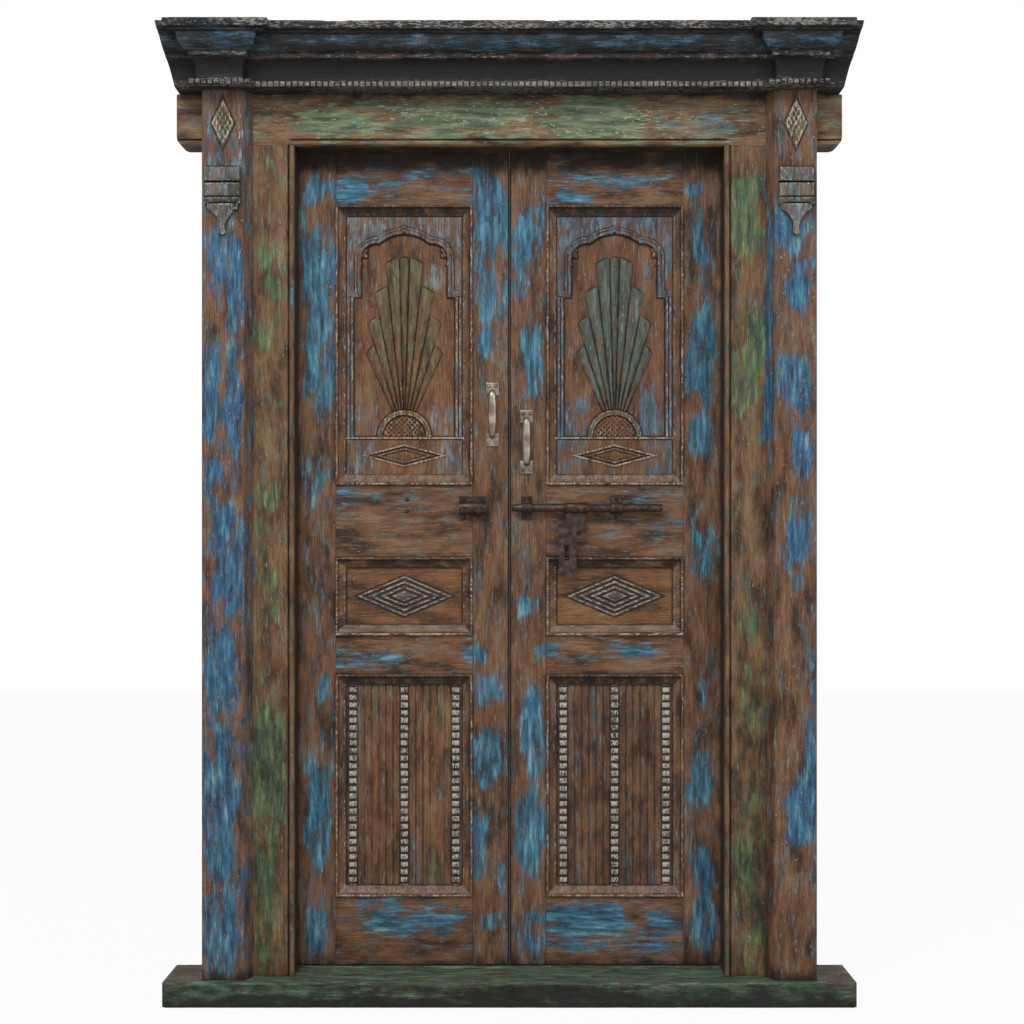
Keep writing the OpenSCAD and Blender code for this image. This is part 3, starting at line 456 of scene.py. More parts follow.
@dataclass(frozen=True)
class WornPaint:
    """Old oil paint over hand-planed teak.

    The eye sees brown timber that drifts from red to grey with fine dark fibres, two paints worn to a thin
    streaky film with soft edges and cross checks, fine dark and pale scratches along the grain, pale chips
    in clusters, and black dust and painted shade in the hollows. Sizes of grain are in mm, as coarse as the
    render can show.
    """

    name: str
    wood: tuple[str, ...] = ("#36261a", "#6b482f", "#80593c", "#876d54")
    first: tuple[str, ...] = ("#112c3d", "#1d5880", "#3f7f9d", "#a2bfc2")
    second: tuple[str, ...] = ("#243528", "#3d5a43", "#637847", "#8fa483")
    pale: str = "#bdb3a3"
    # dark colour of pores, dust and painted shade
    grime: str = "#191310"
    roughness: float = 0.62
    relief: float = 0.9
    film: float = 0.86
    drift: Grain = Grain(34, 3.6, 5)
    fibre: Grain = Grain(2.8, 24, 3)
    pores: Grain = Grain(1.8, 30, 2)
    flake: Grain = Grain(17, 3.0, 6)
    scratch: Grain = Grain(3.6, 10, 4)
    body: Grain = Grain(11, 6.5, 6)
    checks: Grain = Grain(22, 0.11, 2)
    chips: Grain = Grain(3.2, 3.6, 3)
    dust: Grain = Grain(24, 2, 4)

    def layers(self, tree: bpy.types.NodeTree, axis: Axis) -> dict[str, bpy.types.NodeSocket]:
        """Adds every layer of noise, each moved to its own part of space.

        Args:
            tree: the material's tree.
            axis: the direction of the grain.

        Returns:
            The noises by the name of their field.
        """
        place = add(tree, "TexCoord", give="Object")
        made = {}
        names = ("drift", "fibre", "pores", "flake", "scratch", "body", "checks", "chips", "dust")
        for i, name in enumerate(names):
            grain: Grain = getattr(self, name)
            stretch = [1.0, 1.0, 1.0]
            stretch[axis.value] = 1 / grain.stretch
            moved = add(tree, "Mapping", place, (0.37 * i, 0.61 * i, 0.83 * i), None, stretch)
            made[name] = add(tree, "TexNoise", moved, 1 / (grain.cell * MM), grain.detail, 0.62)
        return made

    def material(self, axis: Axis) -> bpy.types.Material:
        """Builds the finish: timber, two paints, scratches, chips, dust and painted shade, by shares of the
        paint attribute.

        Args:
            axis: the direction of the grain.

        Returns:
            The material, which reads the attribute named paint.
        """
        material, tree, shader = new_material(f"{self.name} {axis.name.lower()} grain")
        noise = self.layers(tree, axis)
        coat = add(tree, "Attribute", attribute_name="paint")
        share = add(tree, "SeparateColor", coat).node.outputs
        wood_places = (0.36, 0.46, 0.56, 0.68)
        paint_places = (0.34, 0.47, 0.6, 0.76)
        timber = colour_stops(add(tree, "ValToRGB", noise["drift"]), *zip(wood_places, self.wood))
        dark_fibre = add(tree, "MapRange", noise["fibre"], 0.54, 0.34, 0, 0.55)
        timber = add(tree, "Mix", dark_fibre, timber, linear(self.wood[0]), data_type="RGBA")
        pore = add(tree, "MapRange", noise["pores"], 0.36, 0.29, 0, 0.6)
        surface = add(tree, "Mix", pore, timber, linear(self.grime), data_type="RGBA")

        half_scratch = add(tree, "Math", noise["scratch"], 0.36, operation="MULTIPLY")
        broken = add(tree, "Math", noise["flake"], 0.64, half_scratch, operation="MULTIPLY_ADD")
        ragged = add(tree, "MapRange", broken, 0.3, 0.7, 0, 1, clamp=False)
        checked = add(tree, "MapRange", noise["checks"], 0.57, 0.63, 0, 1)
        patchy = add(tree, "MapRange", noise["drift"], 0.5, 0.58, 0, -0.3)
        ragged = add(tree, "Math", checked, patchy, ragged, operation="MULTIPLY_ADD")
        film = None
        for amount, tones in ((share["Red"], self.first), (share["Green"], self.second)):
            paint = colour_stops(add(tree, "ValToRGB", noise["body"]), *zip(paint_places, tones))
            held = add(tree, "Math", amount, 0.62, ragged, operation="MULTIPLY_ADD")
            halo = add(tree, "MapRange", held, 0.52, 0.85, 0, 0.32, interpolation_type="SMOOTHSTEP")
            left = add(tree, "MapRange", held, 0.78, 0.87, 0, self.film, interpolation_type="SMOOTHSTEP")
            surface = add(tree, "Mix", halo, surface, paint, data_type="RGBA")
            surface = add(tree, "Mix", left, surface, paint, data_type="RGBA")
            film = left if film is None else add(tree, "Math", film, left, operation="MAXIMUM")

        worn_line = add(tree, "MapRange", noise["scratch"], 0.45, 0.36, 0, 0.42)
        surface = add(tree, "Mix", worn_line, surface, linear(self.wood[0]), data_type="RGBA")
        bright_line = add(tree, "MapRange", noise["scratch"], 0.58, 0.68, 0, 0.22)
        surface = add(tree, "Mix", bright_line, surface, linear(self.pale), data_type="RGBA")

        clustered = add(tree, "Math", noise["dust"], 0.5, noise["chips"], operation="MULTIPLY_ADD")
        chipped = add(tree, "Math", share["Blue"], 0.3, clustered, operation="MULTIPLY_ADD")
        chip = add(tree, "MapRange", chipped, 0.98, 1.08, 0, 0.85, interpolation_type="SMOOTHSTEP")
        surface = add(tree, "Mix", chip, surface, linear(self.pale), data_type="RGBA")
        # the fourth paint share darkens towards the dark colour: dust, and the painted shade that each piece
        # puts into it
        dust_and_shade_amount = add(tree, "Math", coat.node.outputs["Alpha"], 0.62, noise["dust"], operation="MULTIPLY_ADD")
        dust = add(tree, "MapRange", dust_and_shade_amount, 0.6, 1.1, 0, 0.93, interpolation_type="SMOOTHSTEP")
        surface = add(tree, "Mix", dust, surface, linear(self.grime), data_type="RGBA")
        tree.links.new(surface, shader.inputs["Base Color"])

        dull = add(tree, "Math", noise["fibre"], 0.2, self.roughness, operation="MULTIPLY_ADD")
        rough = add(tree, "Math", film, -0.12, dull, operation="MULTIPLY_ADD")
        tree.links.new(rough, shader.inputs["Roughness"])
        shader.inputs["Specular IOR Level"].default_value = 0.35
        raised = add(tree, "Math", film, 0.3, noise["fibre"], operation="MULTIPLY_ADD")
        height = add(tree, "Math", pore, -0.5, raised, operation="MULTIPLY_ADD")
        bump = add(tree, "Bump", 0.6, self.relief * MM, None, height)
        tree.links.new(bump, shader.inputs["Normal"])
        return material


@dataclass(frozen=True)
class AgedSteel:
    """Forged or drawn steel left to age.

    The eye sees a dark hammered skin with brown rust in its low spots and a dull shine on the high ones.
    Lengths are in mm.
    """

    name: str
    skin: str = "#30231e"
    worn: str = "#57443b"
    rust: str = "#3a2922"
    rusty: float = 0.45
    metallic: float = 0.6
    roughness: float = 0.42
    dimple: float = 11.0
    rust_cloud: float = 18.0
    pit: float = 1.6

    def material(self) -> bpy.types.Material:
        """Builds the finish from dimples, rust clouds and fine pits."""
        material, tree, shader = new_material(self.name)
        place = add(tree, "TexCoord", give="Object")
        dimple = add(tree, "TexNoise", place, 1 / (self.dimple * MM), 3)
        cloudy = add(tree, "TexNoise", place, 1 / (self.rust_cloud * MM), 6, 0.7)
        pit = add(tree, "TexNoise", place, 1 / (self.pit * MM), 2)
        shine = colour_stops(add(tree, "ValToRGB", dimple), (0.4, self.skin), (0.7, self.worn))
        edge = 0.72 - 0.3 * self.rusty
        rusted = add(tree, "MapRange", cloudy, edge, edge + 0.14, interpolation_type="SMOOTHSTEP")
        colour = add(tree, "Mix", rusted, shine, linear(self.rust), data_type="RGBA")
        tree.links.new(colour, shader.inputs["Base Color"])
        rough = add(tree, "MapRange", cloudy, 0.3, 0.7, self.roughness - 0.12, self.roughness + 0.25)
        tree.links.new(rough, shader.inputs["Roughness"])
        shader.inputs["Metallic"].default_value = self.metallic
        height = add(tree, "Math", pit, 0.12, dimple, operation="MULTIPLY_ADD")
        bump = add(tree, "Bump", 0.45, 0.8 * MM, None, height)
        tree.links.new(bump, shader.inputs["Normal"])
        return material


@dataclass
class Workshop:
    """Makes finished pieces: it keeps the frame, the paint patches and one material for each finish."""

    frame: dict
    patches: list[Patch]
    made: dict[str, bpy.types.Material] = field(default_factory=dict)
    full_hollow: float = 1.2

    def wood(self, finish: WornPaint, axis: Axis) -> bpy.types.Material:
        """The material of a finish with its grain along an axis, made once."""
        key = f"{finish.name} {axis.name}"
        if key not in self.made:
            self.made[key] = finish.material(axis)
        return self.made[key]

    def steel(self, finish: AgedSteel) -> bpy.types.Material:
        """The material of a steel finish, made once."""
        if finish.name not in self.made:
            self.made[finish.name] = finish.material()
        return self.made[finish.name]

    def dress(self, node: str, material: bpy.types.Material, bevel: float = 0.0) -> None:
        """Gives a CAD node its material and, where asked, a small rounded edge.

        Args:
            node: the node's name.
            material: its finish.
            bevel: width of the rounded edge in mm.
        """
        shape = self.frame["nodes"][node]
        shape.data.materials.clear()
        shape.data.materials.append(material)
        if bevel:
            weld = shape.modifiers.new("weld", "WELD")
            weld.merge_threshold = 0.02 * MM
            rounding = shape.modifiers.new("rounded edge", "BEVEL")
            rounding.width = bevel * MM
            rounding.segments = 2
            rounding.limit_method = "ANGLE"
            rounding.angle_limit = math.radians(35)
        LOG.info("dressed %s", node)

    def piece(
        self, name: str, skin: Skin, material: bpy.types.Material, body: str, slot: str,
        replaced: tuple[str, ...], paint: Array | None = None, sharp: float = 40.0,
    ) -> None:
        """Makes a mesh object of a skin and fixes it to its body.

        Args:
            name: the piece's name.
            skin: its surface in mm.
            material: its finish.
            body: the body it moves with.
            slot: the record's material slot, not used.
            replaced: the CAD nodes that it stands for.
            paint: coverage of the four paint channels at each point.
            sharp: angle in degrees past which an edge stays sharp.
        """
        mesh = bpy.data.meshes.new(name)
        sizes = np.concatenate([np.full(len(group), group.shape[1]) for group in skin.faces])
        mesh.vertices.add(len(skin.verts))
        mesh.vertices.foreach_set("co", (skin.verts * MM).astype(np.float32).ravel())
        mesh.loops.add(int(sizes.sum()))
        corners = np.concatenate([group.ravel() for group in skin.faces])
        mesh.loops.foreach_set("vertex_index", corners.astype(np.int32))
        mesh.polygons.add(len(sizes))
        mesh.polygons.foreach_set("loop_start", (np.cumsum(sizes) - sizes).astype(np.int32))
        if paint is not None:
            layer = mesh.attributes.new("paint", "FLOAT_COLOR", "POINT")
            layer.data.foreach_set("color", paint.astype(np.float32).ravel())
        mesh.update(calc_edges=True)
        work = bmesh.new()
        work.from_mesh(mesh)
        bmesh.ops.recalc_face_normals(work, faces=work.faces)
        work.to_mesh(mesh)
        work.free()
        mesh.shade_smooth()
        mesh.set_sharp_from_angle(angle=math.radians(sharp))
        mesh.materials.append(material)
        shape = bpy.data.objects.new(name, mesh)
        bpy.context.scene.collection.objects.link(shape)
        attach(shape, body)
        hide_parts(*replaced)
        LOG.info("made %s: %d points", name, len(skin.verts))

    def dust_and_shade_hollows(self, paint: Array, skin: Skin) -> None:
        """Darkens hollows with dust and painted shade, rubs raised edges pale and keeps every share within 0
        and 1.
        """
        depth = skin.hollow / self.full_hollow
        # dust and painted shade in the hollows of the carving
        paint[:, Pigment.GRIME] += 0.85 * np.clip(depth, 0, 1)
        paint[:, Pigment.PALE] += 0.5 * np.clip(-depth, 0, 1)
        np.clip(paint, 0, 1, out=paint)

    def coated(
        self, name: str, skin: Skin, finish: WornPaint, axis: Axis, body: str, slot: str, paint: Array,
        sharp: float = 40.0,
    ) -> None:
        """Makes a wooden piece that replaces the CAD node of the same name, its paint already worked out.

        Args:
            name: the node's name, kept for the piece with a word before it.
            skin: its surface in mm.
            finish: its paint and timber.
            axis: the direction of its grain.
            body: the body it moves with.
            slot: the record's material slot.
            paint: coverage of the four paint channels at each point.
            sharp: angle in degrees past which an edge stays sharp.
        """
        self.piece("worn_" + name, skin, self.wood(finish, axis), body, slot, (name,), paint, sharp)

    def painted(
        self, name: str, skin: Skin, finish: WornPaint, axis: Axis, body: str, slot: str, coat: Coat,
        grime: Array, patches: list[Patch] | None = None, sharp: float = 40.0,
    ) -> None:
        """Makes a wooden piece as coated does, with paint from its coat, the patches and its hollows.

        Args:
            name: the node's name.
            skin: its surface in mm.
            finish: its paint and timber.
            axis: the direction of its grain.
            body: the body it moves with.
            slot: the record's material slot.
            coat: how much paint is left before the patches.
            grime: extra darkening at each point, dust and painted shade.
            patches: the patches that apply, all of the door's if left out.
            sharp: angle in degrees past which an edge stays sharp.
        """
        paint = coat.cover(skin.verts, self.patches if patches is None else patches)
        paint[:, Pigment.GRIME] += grime
        self.dust_and_shade_hollows(paint, skin)
        self.coated(name, skin, finish, axis, body, slot, paint, sharp)


def hollows(height: Array, reach: int) -> Array:
    """How far each point of a height grid lies below the mean of a square of neighbours round it, in mm."""
    padded = np.pad(height, reach, mode="edge")
    rows, columns = height.shape
    span = range(2 * reach + 1)
    upright = sum(padded[i:i + rows, :] for i in span) / len(span)
    return sum(upright[:, i:i + columns] for i in span) / len(span) - height


def relief(
    x_span: tuple[float, float], z_span: tuple[float, float], step: float, face_y: float, back_y: float,
    height: Carving,
) -> Skin:
    """A carved block: a front grid y = face - height(x, z), closed by its sides and a flat back.

    Args:
        x_span: lowest and highest X in mm.
        z_span: lowest and highest Z in mm.
        step: spacing of the grid in mm.
        face_y: Y at which the height is zero.
        back_y: Y of the back.
        height: function of two grids, X and Z, that gives the height towards the viewer.

    Returns:
        The closed block.
    """
    columns = math.ceil((x_span[1] - x_span[0]) / step) + 1
    rows = math.ceil((z_span[1] - z_span[0]) / step) + 1
    x, z = np.meshgrid(np.linspace(*x_span, columns), np.linspace(*z_span, rows))
    out = height(x, z)
    front = np.stack([x, face_y - out, z], axis=-1).reshape(-1, 3)
    number = np.arange(rows * columns).reshape(rows, columns)
    rim = np.concatenate([number[0, :], number[1:, -1], number[-1, -2::-1], number[-2:0:-1, 0]])
    back = front[rim].copy()
    back[:, 1] = back_y
    behind = np.arange(len(rim)) + len(front)
    walls = np.stack([rim, np.roll(rim, -1), np.roll(behind, -1), behind], axis=-1)
    hollow = np.concatenate([hollows(out, round(HOLLOW_REACH / step)).ravel(), np.zeros(len(back))])
    return Skin(np.vstack([front, back]), [grid_faces(rows, columns), walls, behind[None, ::-1]], hollow)


def ridge(distance: Array, half_width: float) -> Array:
    """A round-backed ridge: the square root of 1 - (distance / half width) squared, and 0 outside."""
    return np.sqrt(np.clip(1 - (distance / half_width) ** 2, 0, 1))


def rhomb(x: Array, z: Array, half_w: float, half_h: float) -> Array:
    """How deep a point is inside a rhomb, from 1 at its middle through 0 on its edge to less outside."""
    return 1 - np.abs(x) / half_w - np.abs(z) / half_h


BLUE_TEAK = WornPaint("worn blue oil paint on teak")
TURQUOISE_TEAK = WornPaint(
    "worn turquoise oil paint on teak", first=("#142f3b", "#22607d", "#438aa7", "#a4c1c3"))
GREEN_TEAK = WornPaint("worn green oil paint on teak", wood=("#3a291c", "#6b4830", "#80603f", "#8b7759"))
HEAD_TEAK = WornPaint(
    "worn pale green oil paint on teak", wood=("#402f22", "#74533b", "#896b4c", "#93826a"),
    second=("#2f3d30", "#526b54", "#788a64", "#a3b095"))
GREY_TEAK = WornPaint(
    "rubbed slate paint on teak", wood=("#332c26", "#5f5448", "#786c5f", "#948b80"),
    first=("#2b373f", "#4c5d69", "#737e88", "#a5adb0"), pale="#c2bbad")
MAUVE_TEAK = WornPaint(
    "grey wash on carved teak", wood=("#3f2919", "#70482b", "#855834", "#886846"),
    first=("#332c29", "#483f3b", "#5e534e", "#857a73"), pale="#b3a595", roughness=0.6)
SILL_TEAK = WornPaint(
    "trodden dark green paint on teak", wood=("#2b211b", "#4d3a2c", "#5d4a38", "#6a6050"),
    second=("#26362c", "#435c4b", "#5f7a64", "#93a596"), grime="#12110e", roughness=0.7)
DARK_TEAK = WornPaint(
    "sooty dark paint on teak", wood=("#0b0908", "#130f0d", "#1f1813", "#3c3129"),
    first=("#10202a", "#193e52", "#2c5c74", "#74888e"), second=("#2a1f1b", "#46302a", "#5e4137", "#75655a"),
    pale="#8f8a83", grime="#0e0c0b")
BEAD_TEAK = WornPaint(
    "rubbed grey paint on beads", wood=("#3b342e", "#665d53", "#857b6f", "#a79e91"),
    first=("#38444d", "#5d6a72", "#7c888d", "#a3abac"), pale="#c4bdb1")


@dataclass
class DoorFrame:
    """The fixed frame: sill, jambs, head, pilasters and corbels. Sizes are in mm."""

    shop: Workshop
    body: str = "frame"
    sill_half: float = 795
    sill_front: float = -62
    sill_top: float = 57
    sill_cut: float = 10
    threshold: float = 4
    depth: float = 117
    opening_half: float = 500
    opening_top: float = 1986
    jamb_half: float = 630
    stop: float = 81
    rebate: float = 15
    bead: float = 12
    quirk: float = 2.5
    head_top: float = 2104
    horn_half: float = 772
    horn_depth: float = 72
    horn_cut: float = 12
    pilaster_front: float = -38
    pilaster_inner: float = 610
    pilaster_outer: float = 707
    splay: float = 16
    diamond_z: float = 2027
    diamond: tuple[float, float] = (27, 60)
    diamond_border: float = 0.14
    corbel_top: float = 1926
    corbel_w: float = 82
    corbel_out: float = 20
    block_h: float = 34
    groove_h: float = 4
    pendant_top: float = 1840
    pendant_foot: float = 1769

    def build(self) -> None:
        """Makes every piece of the frame."""
        self.sill()
        self.head()
        for side in Side:
            self.jamb(side)
            self.pilaster(side)
            self.corbel(side)

    def sill(self) -> None:
        """The sill: a board whose front corners are cut across, y >= front + (|x| - length + cut)."""
        section = rectangle((self.sill_front, self.depth), (0, self.sill_top))
        board = Board(
            section, Axis.X, -self.sill_half, self.sill_half, seed=11, radius=4, wear=4.5, waviness=1.2)
        skin = board.skin()
        over = np.clip(np.abs(skin.verts[:, 0]) - self.sill_half + self.sill_cut, 0, None)
        skin.verts[:, 1] = np.maximum(skin.verts[:, 1], self.sill_front + over)
        strip = rectangle((self.stop, self.depth), (self.sill_top - 3, self.sill_top + self.threshold))
        reach = self.opening_half + self.rebate - 2
        skin = skin + Board(strip, Axis.X, -reach, reach, seed=12, wear=1).skin()
        on_top = smoothstep(self.sill_top - 5, self.sill_top - 1, skin.verts[:, 2])
        low = 0.5 * smoothstep(34, 4, skin.verts[:, 2]) + 0.24 - 0.75 * on_top
        coat = Coat(first=0.0, second=0.6, pale=0.15, grime=0.35)
        self.shop.painted("sill", skin, SILL_TEAK, Axis.X, self.body, "green_teak", coat, low)

    def beaded_edge(self) -> list[tuple[float, float]]:
        """Section of a frame member as (distance from the opening, depth): a quirk, then a round bead."""
        turn = np.linspace(0, np.pi, 9)
        r = self.bead / 2
        arc = np.stack([r + r * np.cos(turn), r - r * np.sin(turn)], axis=-1)
        edge = self.bead + self.quirk
        return [(edge, 0), (edge, r + 1), (self.bead, r + 1), *map(tuple, arc.tolist())]

    def jamb(self, side: Side) -> None:
        """A jamb: the beaded section carried up from the sill to the head."""
        width = self.jamb_half - self.opening_half
        section = [
            (width, 0), *self.beaded_edge(), (0, self.stop), (self.rebate, self.stop),
            (self.rebate, self.depth), (width, self.depth)]
        placed = [(side.sign * (self.opening_half + u), y) for u, y in section]
        seed = 21 + side.sign
        skin = Board(placed, Axis.Z, self.sill_top, self.opening_top, seed, radius=1.5, wear=2).skin()
        inside = np.abs(skin.verts[:, 0]) - self.opening_half
        # painted shade: a dark line in the quirk beside the bead, and darker towards the outer edge in the
        # corner against the pilaster
        shade_and_dust = 0.6 * smoothstep(4, 0, np.abs(inside - self.bead - 1)) + 0.5 * smoothstep(90, 128, inside)
        # painted shade on the reveal, the inner face behind the bead
        shade_and_dust += 0.8 * smoothstep(10, 22, skin.verts[:, 1]) * smoothstep(6, 2, inside)
        coat = Coat(first=0.05, second=0.16, pale=0.16, grime=0.2)
        self.shop.painted(
            f"{side.value}_jamb", skin, GREEN_TEAK, Axis.Z, self.body, "brown_teak", coat, shade_and_dust)

    def head(self) -> None:
        """The head: the beaded section turned on its side between the jambs, with thinner horns past them."""
        height = self.head_top - self.opening_top
        edge = [(y, self.opening_top + u) for u, y in self.beaded_edge()]
        middle = [
            (0, self.head_top), *edge, (self.stop, self.opening_top),
            (self.stop, self.opening_top + self.rebate), (self.depth, self.opening_top + self.rebate),
            (self.depth, self.head_top)]
        horn = [
            (0, self.head_top), *edge, (self.horn_depth, self.opening_top), (self.horn_depth, self.head_top)]
        skin = Board(middle, Axis.X, -self.jamb_half, self.jamb_half, seed=31, radius=1.5, wear=2).skin()
        for sign in (-1, 1):
            start, end = sorted((sign * (self.jamb_half - 3), sign * self.horn_half))
            skin = skin + Board(horn, Axis.X, start, end, seed=32 + sign, radius=1.5, wear=2.5).skin()
        out = np.clip(np.abs(skin.verts[:, 0]) - self.horn_half + self.horn_cut, 0, None)
        skin.verts[:, 2] = np.maximum(skin.verts[:, 2], self.opening_top + out)
        up = skin.verts[:, 2] - self.opening_top
        apart = np.abs(skin.verts[:, 0])
        mitred = (apart > self.opening_half + self.bead) & (apart < self.jamb_half) & (skin.verts[:, 1] < 9)
        skin.verts[:, 1] = np.where(mitred & (up < 16), np.minimum(skin.verts[:, 1], 0.2), skin.verts[:, 1])
        # painted shade: a dark line in the quirk over the bead
        shade_and_dust = 0.6 * ~mitred * smoothstep(4, 0, np.abs(up - self.bead - 1))
        # painted shade under the cornice along the top of the head
        shade_and_dust += 0.5 * smoothstep(height - 25, height, up)
        # painted shade on the soffit, the underside behind the bead
        shade_and_dust += 0.8 * smoothstep(10, 22, skin.verts[:, 1]) * smoothstep(6, 2, up)
        coat = Coat(first=0.03, second=0.12, pale=0.12, grime=0.2)
        self.shop.painted("head", skin, HEAD_TEAK, Axis.X, self.body, "brown_teak", coat, shade_and_dust)

    def pilaster(self, side: Side) -> None:
        """A pilaster: a splayed board with a rhomb near its top that carved petals fill."""
        section = [
            (self.pilaster_inner - self.splay, 0), (self.pilaster_inner, self.pilaster_front),
            (self.pilaster_outer, self.pilaster_front), (self.pilaster_outer, 0)]
        placed = [(side.sign * x, y) for x, y in section]
        seed = 41 + side.sign
        board = Board(placed, Axis.Z, self.sill_top, self.head_top, seed, radius=3, wear=4, waviness=0.8)
        skin = board.skin()
        middle = side.sign * (self.pilaster_inner + self.pilaster_outer) / 2
        half_w, half_h = self.diamond

        def carved(x: Array, z: Array) -> Array:
            """A pillow of small petals, with a thin flat border that takes a dark outline of painted shade.
            """
            depth = rhomb(x - middle, z - self.diamond_z, half_w, half_h)
            petals = 1.3 * np.cos((x - middle) * 0.55) * np.cos((z - self.diamond_z) * 0.3)
            pillow = (3.4 + petals * smoothstep(0.1, 0.3, depth)) * smoothstep(0, 0.12, depth)
            return np.where(depth > -self.diamond_border, 0.3 + pillow, -3)

        board_count = len(skin.verts)
        skin = skin + relief(
            (middle - half_w - 4, middle + half_w + 4),
            (self.diamond_z - half_h - 9, self.diamond_z + half_h + 9), step=1.5, face_y=self.pilaster_front,
            back_y=self.pilaster_front + 6, height=carved)
        coat = Coat(first=0.34 if side is Side.LEFT else 0.16, second=0.0, pale=0.22, grime=0.22)
        paint = coat.cover(skin.verts, self.shop.patches)
        depth = rhomb(skin.verts[:, 0] - middle, skin.verts[:, 2] - self.diamond_z, half_w, half_h)
        inside = (np.arange(len(depth)) >= board_count) & (depth > -self.diamond_border)
        paint[inside, :Pigment.GRIME] = [0.1, 0.35, 0.62]
        # painted shade: a dark outline round the lozenge in place of the shade of a groove
        paint[:, Pigment.GRIME] += 0.8 * inside * smoothstep(0.06, 0.0, depth)
        paint[:, Pigment.GRIME] += 0.5 * smoothstep(self.sill_top + 40, self.sill_top, skin.verts[:, 2])
        self.shop.dust_and_shade_hollows(paint, skin)
        self.shop.coated(f"{side.value}_pilaster", skin, BLUE_TEAK, Axis.Z, self.body, "blue_teak", paint)

    def corbel(self, side: Side) -> None:
        """A corbel: two eased blocks, a small moulding and a pendant that tapers in a hollow to a drop."""
        middle = side.sign * (self.pilaster_inner + self.pilaster_outer) / 2
        half = self.corbel_w / 2
        second_top = self.corbel_top - self.block_h - self.groove_h
        second_foot = second_top - self.block_h

        def carved(x: Array, z: Array) -> Array:
            """Height of the blocks by their bands of Z, and of the pendant by its width at each Z."""
            across = half - np.abs(x - middle)
            ease = 3.0 * (1 - smoothstep(0, 5, across))
            upper = ridge(z - (self.corbel_top - self.block_h / 2), self.block_h * 0.53) ** 0.35
            lower = ridge(z - (second_top - self.block_h / 2), self.block_h * 0.53) ** 0.35
            blocks = np.maximum(upper * self.corbel_out, lower * (self.corbel_out - 2)) - ease
            foot = np.clip((z - self.pendant_top) / (second_foot - self.pendant_top), 0, 1)
            moulding = np.where(z <= second_foot + 1, 8 + (self.corbel_out - 8) * foot, 0)
            drop = (self.pendant_top - z) / (self.pendant_top - self.pendant_foot)
            taper = np.where(
                drop < 0.16, half - 5, 7 + (half - 12) * np.clip(1 - (drop - 0.14) / 0.62, 0, 1) ** 2.2)
            taper = np.where(drop > 0.78, 9 * ridge(drop - 0.87, 0.13), taper)
            inside = taper - np.abs(x - middle)
            belly = ridge(x - middle, np.maximum(taper, 1))
            pendant = np.where(inside > 0, 3 + (13 - 5 * drop) * belly ** 0.8, -2)
            below = np.maximum(moulding * (z > self.pendant_top), 0)
            height = np.where(z > second_foot, np.maximum(blocks, 6), below)
            return np.where(z < self.pendant_top, pendant, height)

        skin = relief(
            (middle - half, middle + half), (self.pendant_foot - 1, self.corbel_top), step=1.4,
            face_y=self.pilaster_front, back_y=self.pilaster_front + 4, height=carved)
        # painted shade: a dark line in the groove between the blocks
        corbel_shade_lines = 0.5 * smoothstep(4, 0, np.abs(skin.verts[:, 2] - second_top - self.groove_h / 2))
        # painted shadow: a dark band along the top of the corbel, as if cast from above
        corbel_shade_lines += 0.8 * smoothstep(self.corbel_top - 5, self.corbel_top - 1, skin.verts[:, 2])
        coat = Coat(first=0.42, second=0.0, pale=0.3, grime=0.24)
        self.shop.painted(
            f"{side.value}_corbel", skin, GREY_TEAK, Axis.Z, self.body, "blue_teak", coat, corbel_shade_lines,
            patches=[])


